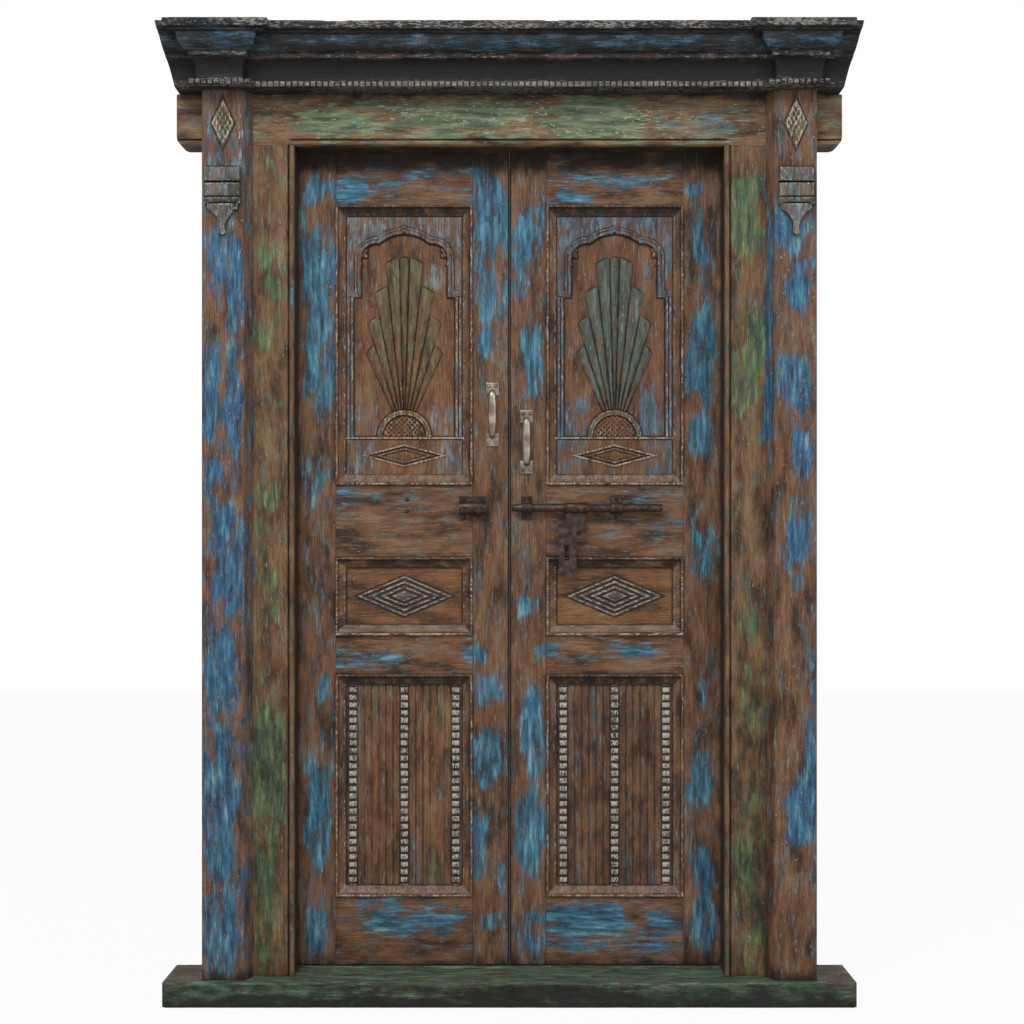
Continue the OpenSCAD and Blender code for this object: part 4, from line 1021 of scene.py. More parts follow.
@dataclass
class Cornice:
    """The cornice over the head, its row of beads and the two capitals that break forward. Sizes in mm."""

    shop: Workshop
    body: str = "frame"
    foot: float = 2104
    back: float = 60
    out: float = 60
    course: float = 12
    hollow: tuple[float, float] = (25, 45)
    fillet: float = 11
    bulge: tuple[float, float] = (22, 38)
    neck: float = 7
    strip: float = 19
    step: float = 5
    half: float = 765
    slope: float = 32
    pitch: float = 14
    bead_out: float = 6
    capital_mid: float = 658.5
    capital_out: float = 24
    capital_foot: float = 70
    capital_neck: float = 53
    capital_spread: tuple[float, float] = (8, 24)
    capital_top: float = 118
    sunk: float = 0.8

    @property
    def levels(self) -> tuple[float, ...]:
        """Heights over the foot at which course, hollow, fillet, round, neck and strip end."""
        heights = (self.course, self.hollow[1], self.fillet, self.bulge[1], self.neck, self.strip)
        return tuple(accumulate(heights))

    @property
    def height(self) -> float:
        """Full height of the cornice."""
        return self.levels[-1]

    def profile(self, foot: float, hollow: float, bulge: float, top: float) -> Array:
        """Outline from the foot up as (projection, height): course, hollow, fillet, round, neck and strip.

        Args:
            foot: projection of the lowest course.
            hollow: projection gained over the hollow, a quarter of an ellipse.
            bulge: projection gained over the round, another quarter.
            top: projection of the top strip.

        Returns:
            The points of the outline.
        """
        turn = np.linspace(0, np.pi / 2, 9)
        z1, z2, z3, z4, z5, z6 = self.levels
        start = foot + hollow + self.step
        neck = top - 2 * self.step
        curve = np.stack([foot + hollow * (1 - np.cos(turn)), z1 + self.hollow[1] * np.sin(turn)], axis=-1)
        swell = np.stack([start + bulge * np.sin(turn), z3 + self.bulge[1] * (1 - np.cos(turn))], axis=-1)
        return np.vstack([
            [[foot, 0], [foot, z1 - 0.3]], curve,
            [[start - 1, z2 + 0.4], [start, z2 + 1.5], [start, z3 - 0.3]], swell,
            [[neck, z4 + 0.5], [neck, z5 - 0.3], [top - 1, z5 + 0.3]],
            [[top, z5 + 2], [top, z6 - 2.5], [top - 2.5, z6]]])

    def front_profile(self) -> Array:
        """Outline of the run, as its projection before the face of the frame and its height."""
        top = self.out + self.hollow[0] + self.bulge[0] + 4 * self.step
        return self.profile(self.out, self.hollow[0], self.bulge[0], top)

    def build(self) -> None:
        """Makes the run, its beads and both capitals."""
        self.run()
        self.beads()
        for side in Side:
            self.capital(side)

    def grime(self, skin: Skin) -> Array:
        """Dust and painted shade by height: black in the hollow and under the strip, little on the round and
        the top.
        """
        up = skin.verts[:, 2] - self.foot
        z1, z2, _, z4, z5, _ = self.levels
        # painted shade in the hollow under the round and on the neck under the strip
        in_hollow = smoothstep(z1 - 2, z1 + 8, up) * smoothstep(z2 + 1, z2 - 6, up)
        under = smoothstep(5, 1, np.abs(up - z4 - self.neck / 2))
        return 0.75 * in_hollow + 0.6 * under - 0.2 * smoothstep(z5, z5 + 4, up)

    def bands(self) -> list[Patch]:
        """Paint by height: blue on the round, red brown on the fillet with painted highlights on its edges,
        pale on the strip.
        """
        _, z2, z3, _, _, top = (self.foot + level for level in self.levels)
        wide = self.half * 1.4
        return [
            Patch(0, z3 + self.bulge[1] / 2, wide, self.bulge[1] / 2, 0.36),
            Patch(0, z2 + self.fillet / 2, wide, self.fillet / 2, 0.4, Pigment.SECOND),
            # painted highlights: pale lines along the lower and upper edges of the fillet
            Patch(0, z2 + 1, wide, 2, 0.5, Pigment.PALE),
            Patch(0, z3, wide, 2, 0.35, Pigment.PALE),
            Patch(0, top - self.strip / 2, wide, self.strip / 2 + 2, 0.75, Pigment.PALE),
            Patch(0, self.foot + self.course / 2, wide, self.course, 0.7, Pigment.PALE)]

    def run(self) -> None:
        """The straight run: the outline carried along X, its ends leaning out with height."""
        front = self.front_profile() * [-1, 1]
        closed = np.vstack([front, [[self.back, self.height], [self.back, 0]]])
        along = stations(-1, 1, 0.008)
        rows, columns = len(along), len(closed)
        y = np.broadcast_to(closed[:, 0], (rows, columns))
        up = np.broadcast_to(closed[:, 1], (rows, columns))
        x = along[:, None] * (self.half + self.slope * up / self.height)
        verts = np.stack([x, y, self.foot + up], axis=-1).reshape(-1, 3)
        knocked = smoothstep(0.55, 0.85, cloud(verts, 16, 71, (3, 1, 1)))
        on_strip = verts[:, 2] > self.foot + self.height - self.strip
        verts[:, 1] += knocked * np.where(on_strip, 3.5, 1.2) * (verts[:, 1] < 0)
        between = np.abs(np.abs(verts[:, 0]) - self.capital_mid) > self.capital_top
        verts[:, 2] -= knocked * 2.5 * between * (verts[:, 2] > self.foot + self.height - 1)
        skin = Skin(verts, tube_faces(rows, columns))
        coat = Coat(first=0.15, second=0.1, pale=0.1, grime=0.3)
        grime = self.grime(skin) + 0.6 * (skin.verts[:, 1] > self.back - 1)
        self.shop.painted(
            "cornice", skin, DARK_TEAK, Axis.X, self.body, "dark_teak", coat, grime, self.bands(), sharp=35)

    def bead_strip(self, middle: float, half: float, front: float) -> Skin:
        """A row of upright beads on a thin strip: out = thin + round(x) * round(z) within each pitch."""
        count = max(1, int(2 * half // self.pitch))

        def carved(x: Array, z: Array) -> Array:
            """Each bead is a ridge across its pitch, rounded over at its top and foot."""
            phase = (x - middle) / self.pitch + (count % 2) / 2
            across = (phase - np.floor(phase) - 0.5) * self.pitch
            upright = ridge(z - self.foot - self.course / 2, self.course * 0.52) ** 0.5
            return 1.5 + (self.bead_out - 1.5) * ridge(across, self.pitch * 0.46) * upright

        return relief(
            (middle - half, middle + half), (self.foot + 0.3, self.foot + self.course - 0.3), step=1.4,
            face_y=-front, back_y=4 - front, height=carved)

    def beads(self) -> None:
        """The beads of the run, between the capitals."""
        half = self.capital_mid - self.capital_foot - self.pitch / 2
        skin = self.bead_strip(0, half, self.out)
        # painted shade in the gaps between the beads, darker where the strip lies further back
        hollow = 0.5 * smoothstep(-self.out - 4, -self.out - 1.5, skin.verts[:, 1])
        coat = Coat(first=0.2, second=0.0, pale=0.3, grime=0.3)
        self.shop.painted(
            "cornice_beads", skin, BEAD_TEAK, Axis.X, self.body, "dark_teak", coat, hollow, patches=[],
            sharp=60)

    def capital(self, side: Side) -> None:
        """A capital: at each height a U-shaped course, its width and its front taken from two outlines."""
        front = self.front_profile()
        wide = self.profile(self.capital_neck, *self.capital_spread, self.capital_top)
        wide[:2, 0] = self.capital_foot
        middle = side.sign * self.capital_mid
        side_share = np.linspace(0, 1, 14)
        front_share = np.linspace(-1, 1, 40)
        rounding = 2.0
        levels = len(front)
        side_shape, front_shape = (levels, len(side_share)), (levels, len(front_share))
        columns = 2 * len(side_share) + len(front_share)
        reach = -(front[:, :1] + self.capital_out)
        half = wide[:, :1]
        left = np.stack([np.broadcast_to(-half, side_shape), reach * side_share], axis=-1)
        across = np.stack([half * front_share, np.broadcast_to(reach, front_shape)], axis=-1)
        right = np.stack([np.broadcast_to(half, side_shape), reach * side_share[::-1]], axis=-1)
        left[:, -1, 1] += rounding
        right[:, 0, 1] += rounding
        across[:, 0, 0] += rounding
        across[:, -1, 0] -= rounding
        plan = np.concatenate([left, across, right], axis=1)
        up = np.broadcast_to(np.clip(front[:, 1:], self.sunk, self.height - self.sunk), (levels, columns))
        verts = np.stack([middle + plan[..., 0], plan[..., 1], self.foot + up], axis=-1).reshape(-1, 3)
        knocked = smoothstep(0.6, 0.9, cloud(verts, 14, 81 + side.sign))
        verts[:, 1] += knocked * 2.0 * (verts[:, 1] < -20)
        skin = Skin(verts, tube_faces(levels, columns))
        skin = skin + self.bead_strip(middle, self.capital_foot, self.out + self.capital_out)
        coat = Coat(first=0.25, second=0.05, pale=0.25, grime=0.3)
        self.shop.painted(
            f"{side.value}_capital", skin, DARK_TEAK, Axis.X, self.body, "dark_teak", coat,
            self.grime(skin) * 0.8, self.bands(), sharp=35)


CARVED_TEAK = {
    Side.LEFT: WornPaint(
        "carved teak, olive wash", wood=("#432c1d", "#6f4930", "#7f5739", "#8b6a4c"),
        first=("#3a4147", "#5c6670", "#79848a", "#a3a9a6"),
        second=("#35321f", "#55523a", "#6f6a48", "#8d8a68"), pale="#b9aa96", roughness=0.66),
    Side.RIGHT: WornPaint(
        "carved teak, teal wash", wood=("#432c1d", "#6a4630", "#795438", "#84654b"),
        first=("#313e48", "#465f6f", "#5a768a", "#9aa9af"),
        second=("#2b3836", "#46554f", "#58685f", "#7d8c82"), pale="#b9aa96", roughness=0.66)}
# The second tones are the pale brown painted on the bottom member of each moulding, as the light that falls
# on its upward slope.
MOULDED_TEAK = WornPaint(
    "planted teak moulding", wood=("#3b271b", "#674630", "#80593b", "#8c7157"),
    second=("#59483c", "#755f50", "#87705f", "#a18f80"), pale="#c0b19c")


@dataclass
class Leaf:
    """One swinging leaf: stiles, rails, mouldings, carved panels and bead strips. Sizes are in mm."""

    shop: Workshop
    side: Side
    meeting: float = -0.15
    meeting_ease: float = 4
    meeting_bevel: float = 2.7
    meeting_inner: float = 87.4
    hinge_inner: float = 411.5
    hinge: float = 512
    front: float = 81.5
    back: float = 116.6
    foot: float = 66
    top: float = 1998
    lower: tuple[float, float] = (227, 753)
    middle: tuple[float, float] = (845, 1030)
    upper: tuple[float, float] = (1201, 1863)
    moulding_w: float = 26
    moulding_rise: float = 20
    roll: float = 3.2
    slope_start: tuple[float, float] = (7.0, 15.4)
    slope_by: tuple[float, float] = (15.0, 9.8)
    panel_face: float = 93
    panel_back: float = 111
    under: float = 6
    spandrel: float = 3
    rim: float = 7
    rim_w: float = 15
    rosette: tuple[float, float, float] = (101, 1752, 17)
    band: tuple[float, float] = (1227, 1315)
    band_rhomb: tuple[float, float] = (103, 27)
    band_edge: float = 2.6
    hatch_pitch: float = 12.5
    arch_half: float = 121
    arch_neck: float = 103
    arch_foot: float = 1647
    arch_top: float = 1800
    disc: tuple[float, float] = (52, 65)
    ray_lengths: tuple[float, ...] = (429, 429, 363, 298, 232)
    fan_reach: float = 0.88
    fan_swell: float = 1.25
    middle_rhomb: tuple[float, float] = (116, 49)
    rhomb_rise: float = 1.9
    strip_gap: float = 122
    strip_w: float = 19
    strip_pitch: float = 18
    strip_out: float = 8
    strip_thin: float = 2.2
    reed_pitch: float = 17
    reed_depth: float = 3.4

    @property
    def body(self) -> str:
        """Name of the body that the leaf is."""
        return f"{self.side.value}_leaf"

    @property
    def mid(self) -> float:
        """X of the middle of the panels."""
        return self.side.sign * (self.meeting_inner + self.hinge_inner) / 2

    @property
    def band_mid(self) -> float:
        """Z of the middle of the band under the fan."""
        return (self.band[0] + self.band[1]) / 2

    @property
    def field_half(self) -> float:
        """Half width of a panel's field inside its moulding."""
        return (self.hinge_inner - self.meeting_inner) / 2 - self.moulding_w

    def build(self) -> None:
        """Makes every wooden piece of the leaf."""
        self.boards()
        for name, span in (("upper", self.upper), ("middle", self.middle), ("lower", self.lower)):
            self.moulding(name, span)
        self.upper_panel()
        self.middle_panel()
        self.lower_panel()
        self.bead_strips()

    def boards(self) -> None:
        """The two stiles and the four rails between them."""
        seed = 100 + 20 * self.side.sign
        depth = (self.front, self.back)
        eased = [
            (self.meeting + self.meeting_ease, self.front), (self.meeting, self.front + self.meeting_ease),
            (self.meeting + self.meeting_bevel, self.back), (self.meeting_inner, self.back),
            (self.meeting_inner, self.front)]
        square = rectangle((self.hinge_inner, self.hinge), depth)
        for i, (name, section) in enumerate((("meeting_stile", eased), ("hinge_stile", square))):
            placed = [(self.side.sign * x, y) for x, y in section]
            closing = self.side.sign * self.meeting
            board = Board(placed, Axis.Z, self.foot, self.top, seed + i, wear=2.6, kept=closing)
            self.board(name, board.skin(), Axis.Z)
        rails = (
            ("top_rail", self.upper[1], self.top), ("lock_rail", self.middle[1], self.upper[0]),
            ("middle_rail", self.lower[1], self.middle[0]), ("bottom_rail", self.foot, self.lower[0]))
        start, end = self.side.span(self.meeting_inner, self.hinge_inner)
        for i, (name, low, high) in enumerate(rails):
            board = Board(rectangle(depth, (low, high)), Axis.X, start, end, seed + 5 + i, wear=1.8)
            self.board(name, board.skin(), Axis.X)

    def board(self, name: str, skin: Skin, axis: Axis) -> None:
        """Finishes a stile or rail: dust near the foot, painted shade under the head, by the hinge and at the
        meeting gap.
        """
        shade_and_dust = 0.35 * smoothstep(self.foot + 50, self.foot, skin.verts[:, 2])
        # painted shadow cast by the head along the top of the leaf
        shade_and_dust += 0.75 * smoothstep(self.top - 75, self.top - 25, skin.verts[:, 2])
        # painted shade along the hinge edge, next to the jamb
        shade_and_dust += 0.5 * smoothstep(self.hinge - 22, self.hinge - 9, np.abs(skin.verts[:, 0]))
        # painted shade: a dark line down the eased meeting edge, in the gap between the leaves
        shade_and_dust += 0.9 * smoothstep(5, 3, np.abs(skin.verts[:, 0]))
        coat = Coat(first=0.1, second=0.0, pale=0.18, grime=0.22)
        self.shop.painted(
            f"{self.side.value}_{name}", skin, TURQUOISE_TEAK, axis, self.body, "blue_teak", coat, shade_and_dust)

    def moulding(self, name: str, span: tuple[float, float]) -> None:
        """A planted moulding: a roll, a long hollow slope and a fillet, carried round with mitred corners.

        Each point of the section goes round its own rectangle, drawn in from the opening by its distance u.

        Args:
            name: the panel that it frames.
            span: foot and top of the opening.
        """
        rise, width, r = self.moulding_rise, self.moulding_w, self.roll
        turn = np.linspace(0, np.pi, 9)
        roll = np.stack([r - r * np.cos(turn), rise - r + r * np.sin(turn)], axis=-1)
        fall = np.linspace(0, 1, 9)
        slope_u = self.slope_start[0] + self.slope_by[0] * fall
        slope = np.stack([slope_u, self.slope_start[1] - self.slope_by[1] * fall ** 0.85], axis=-1)
        fillet = [[width - 2.5, 5.2], [width - 0.4, 4.4], [width, 3.2], [width, 0]]
        section = np.vstack([[[0, 0]], roll, slope, fillet])
        half = (self.hinge_inner - self.meeting_inner) / 2
        tall = (span[1] - span[0]) / 2
        u, out = section[:, 0], section[:, 1]
        lines = []
        for along, across, turned in ((half, tall, False), (tall, half, True)):
            share = np.linspace(-1, 1, math.ceil(2 * along / 7))[:-1, None]
            pair = [share * (along - u), np.broadcast_to(across - u, (len(share), len(u)))]
            lines.append(np.stack([pair[1], pair[0]] if turned else [pair[0], -pair[1]], axis=-1))
        ring = np.vstack([lines[0], lines[1], -lines[0], -lines[1]])
        rows, columns = ring.shape[:2]
        y = np.broadcast_to(self.panel_face - out, (rows, columns))
        centre = (span[0] + span[1]) / 2
        verts = np.stack([self.mid + ring[..., 0], y, centre + ring[..., 1]], axis=-1).reshape(-1, 3)
        seed = 300 + 30 * self.side.sign + int(span[0])
        knocked = smoothstep(0.58, 0.85, cloud(verts, 10, seed))
        height = np.broadcast_to(out, (rows, columns)).ravel()
        verts[:, 1] += knocked * 2.4 * smoothstep(12, rise, height)
        skin = Skin(verts, [grid_faces(rows, columns, wrap_rows=True, wrap_columns=True)])
        inset = np.broadcast_to(u, (rows, columns)).ravel()
        # painted shadow lines: at the quirk between the roll and the slope, and along the inner edge where
        # the moulding meets the panel
        shade_and_dust = 0.5 * smoothstep(2.4, 0, np.abs(inset - 7)) + 0.9 * smoothstep(22.5, 24.5, inset)
        coat = Coat(first=0.06, second=0.1, pale=0.2, grime=0.22)
        paint = coat.cover(verts, self.shop.patches)
        # low marks the bottom member, whose slope faces up into the light, and high the top member, which
        # faces down
        low, high = ring[..., 1].ravel() < 1 - tall + inset, ring[..., 1].ravel() > tall - inset - 1
        # painted light: the bottom member takes the pale brown second paint, as if lit from above
        paint[:, Pigment.SECOND] += 0.7 * (low & (inset > 6))
        # painted highlights: pale on the outer roll and along the inner edge of the sides and top, and a
        # little on the lit bottom member
        paint[:, Pigment.PALE] += 0.5 * (inset < 5) + 0.1 * low + 0.45 * ridge(inset - 20.5, 2.5) * ~low
        # painted shade: the top member and the sides darker and the bottom member lighter, over the shadow
        # lines
        paint[:, Pigment.GRIME] += shade_and_dust + 0.4 * high + 0.14 * ~low * (inset > 7) - 0.15 * low
        np.clip(paint, 0, 1, out=paint)
        axis = Axis.Z if name != "middle" else Axis.X
        self.shop.coated(
            f"{self.side.value}_{name}_moulding", skin, MOULDED_TEAK, axis, self.body, "carved_teak", paint,
            sharp=50)

    def arch(self, x: Array, z: Array) -> Array:
        """Signed distance to the cusped arch, negative inside: the least of its rectangles, lobes and tip."""
        wide = np.maximum(np.abs(x) - self.arch_half, z - self.arch_foot)
        narrow = np.maximum(np.abs(x) - self.arch_neck, z - (self.arch_top - 78))
        lobe_r = self.arch_neck * 0.36
        lobes = np.hypot(np.abs(x) - (self.arch_neck - lobe_r), z - (self.arch_top - 63)) - lobe_r
        crown = np.hypot(x, z - (self.arch_top - 92)) - self.arch_neck * 0.86
        tip = (np.abs(x) / (self.arch_neck * 0.12) + (z - self.arch_top) / 8) * 6.7
        tip = np.maximum(tip, self.arch_top - 8 - z)
        return np.minimum.reduce([wide, narrow, lobes, crown, tip])

    def fan(self, x: Array, z: Array) -> Array:
        """Height of the fan from 0 to 1: in polar form about the half disc, a ridge along each ray."""
        angle = np.degrees(np.arctan2(np.abs(x), np.maximum(z - self.band[1], 0.01)))
        reach = np.hypot(x, z - self.band[1])
        widest = math.degrees(math.atan2(self.arch_half * self.fan_reach, self.ray_lengths[-1]))
        count = len(self.ray_lengths)
        edges = widest * ((np.arange(count) + 0.5) / (count - 0.5)) ** self.fan_swell
        inner = np.concatenate([[-edges[0]], edges[:-1]])
        number = np.minimum(np.searchsorted(edges, angle), count - 1)
        half = ((edges - inner) / 2)[number]
        off = (angle - ((edges + inner) / 2)[number]) / half
        slant = np.where(number > 0, 7 * (off + 1), 4 * np.abs(off))
        end = np.array(self.ray_lengths)[number] - slant
        inside = (np.abs(off) < 0.95) & (reach > self.disc[1] + 1)
        return np.where(inside, (1 - np.abs(off)) ** 0.7 * smoothstep(end, end - 4, reach), 0)

    def upper_panel(self) -> None:
        """The arch over its fan: spandrel, rim, shafts, half disc, rays and a band with a long rhomb."""
        foot, top = self.band[0] - self.under, self.upper[1] - self.moulding_w + self.under
        half = self.field_half + self.under

        def carved(x: Array, z: Array) -> Array:
            """Adds the levels of the carving over the flat field."""
            x = x - self.mid
            apart = self.arch(x, z)
            height = self.spandrel * smoothstep(-1.2, 0.6, apart)
            rim = smoothstep(-0.6, 1.2, apart) * ridge(np.maximum(apart - 3, 0), self.rim_w - 3) ** 0.7
            rim = rim * (self.rim - self.spandrel + 1 - 2 * ridge(apart - self.rim_w * 0.6, 1.8))
            drop = smoothstep(self.arch_foot, self.arch_foot + 12 + np.abs(np.abs(x) - 110), z)
            height = height + rim * drop
            petal_x, petal_z, petal_r = self.rosette
            around = np.arctan2(z - petal_z, np.abs(x) - petal_x)
            apart_r = np.hypot(np.abs(x) - petal_x, z - petal_z)
            lobed = petal_r * (0.82 + 0.18 * np.cos(5 * around))
            rosette = (self.rim + 2) * ridge(apart_r, lobed) ** 0.6 - 3 * ridge(apart_r, 3.5)
            height = np.maximum(height, rosette)
            shaft = np.abs(np.abs(x) - self.arch_half - 7.5)
            reeds = 4 * ridge(np.abs(shaft - 3.7), 3.6) * (z < self.arch_foot)
            height = height + reeds * (np.abs(x) > self.arch_half)
            height = height + (self.rim - 0.02 * np.abs(x)) * self.fan(x, z)
            reach = np.hypot(x, z - self.band[1])
            ring = smoothstep(self.disc[1], self.disc[1] - 1.5, reach) * smoothstep(
                self.disc[0] - 1, self.disc[0] + 1, reach)
            height = height + self.rim * ring
            pitch = self.hatch_pitch
            hatch = np.maximum(
                ridge(np.mod(x + z, pitch) - pitch / 2, 2.6), ridge(np.mod(x - z, pitch) - pitch / 2, 2.6))
            height = height + (1 + 1.6 * hatch) * smoothstep(self.disc[0] - 1, self.disc[0] - 3, reach)
            in_band = z < self.band[1]
            depth = rhomb(x, z - self.band_mid, *self.band_rhomb)
            frame = 3.4 * ridge(depth - 0.08, 0.1) + 3 * ridge(depth - 0.4, 0.09)
            veins = 0.6 + 0.4 * np.cos(x * 0.42) * np.cos(z * 0.5)
            leaf = 3.2 * np.clip((depth - 0.52) / 0.3, 0, 1) * veins
            edge = 3.2 * ridge(z - self.band[1] + self.band_edge, self.band_edge)
            sunk = -1.6 * (depth > 0)
            return np.where(in_band, self.spandrel + frame + leaf + edge + sunk, height)

        skin = relief(
            (self.mid - half, self.mid + half), (foot, top), step=1.7, face_y=self.panel_face,
            back_y=self.panel_back, height=carved)
        x = skin.verts[:, 0] - self.mid
        z = skin.verts[:, 2]
        apart = self.arch(x, z)
        coat = Coat(first=0.0, second=0.0, pale=0.15, grime=0.15)
        paint = coat.cover(skin.verts, self.shop.patches)
        fan = self.fan(x, z)
        rayed = fan > 0.02
        above = z > self.band[1]
        reach = np.hypot(x, z - self.band[1])
        depth = rhomb(x, z - self.band_mid, *self.band_rhomb)
        corner = above & (np.abs(x) > 62) & (z < self.band[1] + 75)
        band_end = ~above & (np.abs(x) > 70) & (depth < 0)
        over_arch = np.where((apart > 0) & above, 0.5, 0.0)
        paint[:, Pigment.FIRST] += over_arch + 0.45 * corner + 0.5 * band_end
        far = np.clip(reach / self.ray_lengths[0], 0, 1)
        least = 0.25 if self.side is Side.LEFT else 0.55
        paint[:, Pigment.SECOND] += np.where(rayed, least + (0.85 - least) * far, 0.0)
        ring = smoothstep(2, 0, np.abs(reach - (self.disc[0] + self.disc[1]) / 2) - 6)
        lines = smoothstep(3, 1.5, np.abs(z - self.band[1] + self.band_edge))
        lines += smoothstep(0.12, 0.06, np.abs(depth - 0.08))
        rubbed = np.where((fan > 0.6) & (far > 0.5), 0.3, 0.0)
        paint[:, Pigment.PALE] += rubbed + above * 0.25 * ring + 0.5 * lines
        paint[:, Pigment.SECOND] += 0.6 * above * ring
        paint[:, Pigment.PALE] += 0.15 * (above & (reach < self.disc[0]))
        # painted shadow just inside the edge of the arch, under its rim, and painted shade in the gaps
        # between the rays
        arch_shadow = smoothstep(-7, -0.5, apart) * smoothstep(0.5, -0.5, apart)
        ray_gap_shade = np.where((fan > 0) & (fan < 0.3), 0.35, 0.0)
        paint[:, Pigment.GRIME] += above * (0.7 * arch_shadow + ray_gap_shade)
        self.shop.dust_and_shade_hollows(paint, skin)
        paint[rayed, Pigment.PALE] *= 0.5
        self.shop.coated(
            f"{self.side.value}_upper_panel", skin, CARVED_TEAK[self.side], Axis.Z, self.body, "carved_teak",
            paint, sharp=60)

    def middle_panel(self) -> None:
        """A nest of rhombs that step up to the middle."""
        centre = (self.middle[0] + self.middle[1]) / 2
        half = self.field_half + self.under
        tall = (self.middle[1] - self.middle[0]) / 2 - self.moulding_w + self.under
        edges = (0.0, 0.24, 0.48, 0.72)

        def carved(x: Array, z: Array) -> Array:
            """Four levels, each with a raised outline and a groove inside it, up to a small pyramid."""
            depth = rhomb(x - self.mid, z - centre, *self.middle_rhomb)
            levels = sum(self.rhomb_rise * smoothstep(edge, edge + 0.05, depth) for edge in edges)
            grooves = sum(ridge(depth - edge - 0.19, 0.05) for edge in edges[:3])
            return levels - 2.4 * grooves + 2 * np.clip((depth - 0.8) / 0.2, 0, 1)

        skin = relief(
            (self.mid - half, self.mid + half), (centre - tall, centre + tall), step=1.8,
            face_y=self.panel_face, back_y=self.panel_back, height=carved)
        depth = rhomb(skin.verts[:, 0] - self.mid, skin.verts[:, 2] - centre, *self.middle_rhomb)
        paint = Coat(first=0.0, second=0.0, pale=0.15, grime=0.24).cover(skin.verts, [])
        paint[:, Pigment.FIRST] += 0.9 * (depth > 0)
        paint[:, Pigment.PALE] += sum(0.55 * ridge(depth - edge - 0.07, 0.045) for edge in edges)
        # painted shade: a dark line at the foot of each step of the rhombs
        paint[:, Pigment.GRIME] += sum(
            0.6 * smoothstep(0.06, 0.02, np.abs(depth - edge + 0.03)) for edge in edges)
        self.shop.dust_and_shade_hollows(paint, skin)
        self.shop.coated(
            f"{self.side.value}_middle_panel", skin, MAUVE_TEAK, Axis.X, self.body, "carved_teak", paint,
            sharp=60)

    def lower_panel(self) -> None:
        """A reeded board: upright grooves between the bead strips."""
        foot, top = self.lower[0] + self.moulding_w - self.under, self.lower[1] - self.moulding_w + self.under
        half = self.field_half + self.under

        def carved(x: Array, z: Array) -> Array:
            """Rounded reeds that fall to a groove at each pitch, counted from the middle of a bay."""
            bay = np.abs(np.abs(x - self.mid) - self.strip_gap / 2)
            phase = np.mod(bay, self.reed_pitch) - self.reed_pitch / 2
            reed = ridge(phase, self.reed_pitch * 0.54) ** 0.6
            return self.reed_depth * (reed - 1) * (bay < self.strip_gap / 2 - self.strip_w / 2)

        skin = relief(
            (self.mid - half, self.mid + half), (foot, top), step=2.1, face_y=self.panel_face,
            back_y=self.panel_back, height=carved)
        coat = Coat(first=0.0, second=0.0, pale=0.12, grime=0.3)
        paint = coat.cover(skin.verts, self.shop.patches)
        washes = ((Pigment.FIRST, 0.55, 0.55, 401), (Pigment.SECOND, 0.7, 0.52, 411))
        for pigment, amount, least, seed in washes:
            streaks = cloud(skin.verts, 20, seed + self.side.sign, (1, 1, 12))
            paint[:, pigment] += amount * smoothstep(least, 0.75, streaks)
        # painted shade in the grooves between the reeds, darker the deeper a point lies
        groove = 0.7 * smoothstep(self.panel_face + 0.8, self.panel_face + 2.6, skin.verts[:, 1])
        paint[:, Pigment.GRIME] += groove * (skin.verts[:, 1] < self.panel_back - 1)
        self.shop.dust_and_shade_hollows(paint, skin)
        self.shop.coated(
            f"{self.side.value}_lower_panel", skin, CARVED_TEAK[self.side], Axis.Z, self.body, "brown_teak",
            paint, sharp=60)

    def bead_strips(self) -> None:
        """Three strips of barrel beads: out = thin + round(z) * blunt(x) within each pitch."""
        foot, top = self.lower[0] + self.moulding_w, self.lower[1] - self.moulding_w
        centre = (foot + top) / 2
        count = int((top - foot) // self.strip_pitch)

        def carved(place: float) -> Carving:
            """Height of the strip that stands at one X."""
            def height(x: Array, z: Array) -> Array:
                """Barrels in a row with a thin strip behind them."""
                phase = (z - centre) / self.strip_pitch + (count % 2) / 2
                up = (phase - np.floor(phase) - 0.5) * self.strip_pitch
                barrel = ridge(up, self.strip_pitch * 0.36) * ridge(x - place, self.strip_w * 0.48) ** 0.5
                return self.strip_thin + (self.strip_out - self.strip_thin) * barrel
            return height

        skin = None
        for i in (-1, 0, 1):
            place = self.mid + i * self.strip_gap
            strip = relief(
                (place - self.strip_w / 2, place + self.strip_w / 2), (foot, top), step=1.7,
                face_y=self.panel_face, back_y=self.panel_face + 2, height=carved(place))
            skin = strip if skin is None else skin + strip
        # painted shade on the thin strip between the barrels, darker where it lies further back
        low = 0.8 * smoothstep(self.panel_face - 4.5, self.panel_face - self.strip_thin, skin.verts[:, 1])
        coat = Coat(first=0.1, second=0.0, pale=0.7, grime=0.05)
        self.shop.painted(
            f"{self.side.value}_bead_strips", skin, BEAD_TEAK, Axis.Z, self.body, "carved_teak", coat, low,
            patches=[], sharp=60)


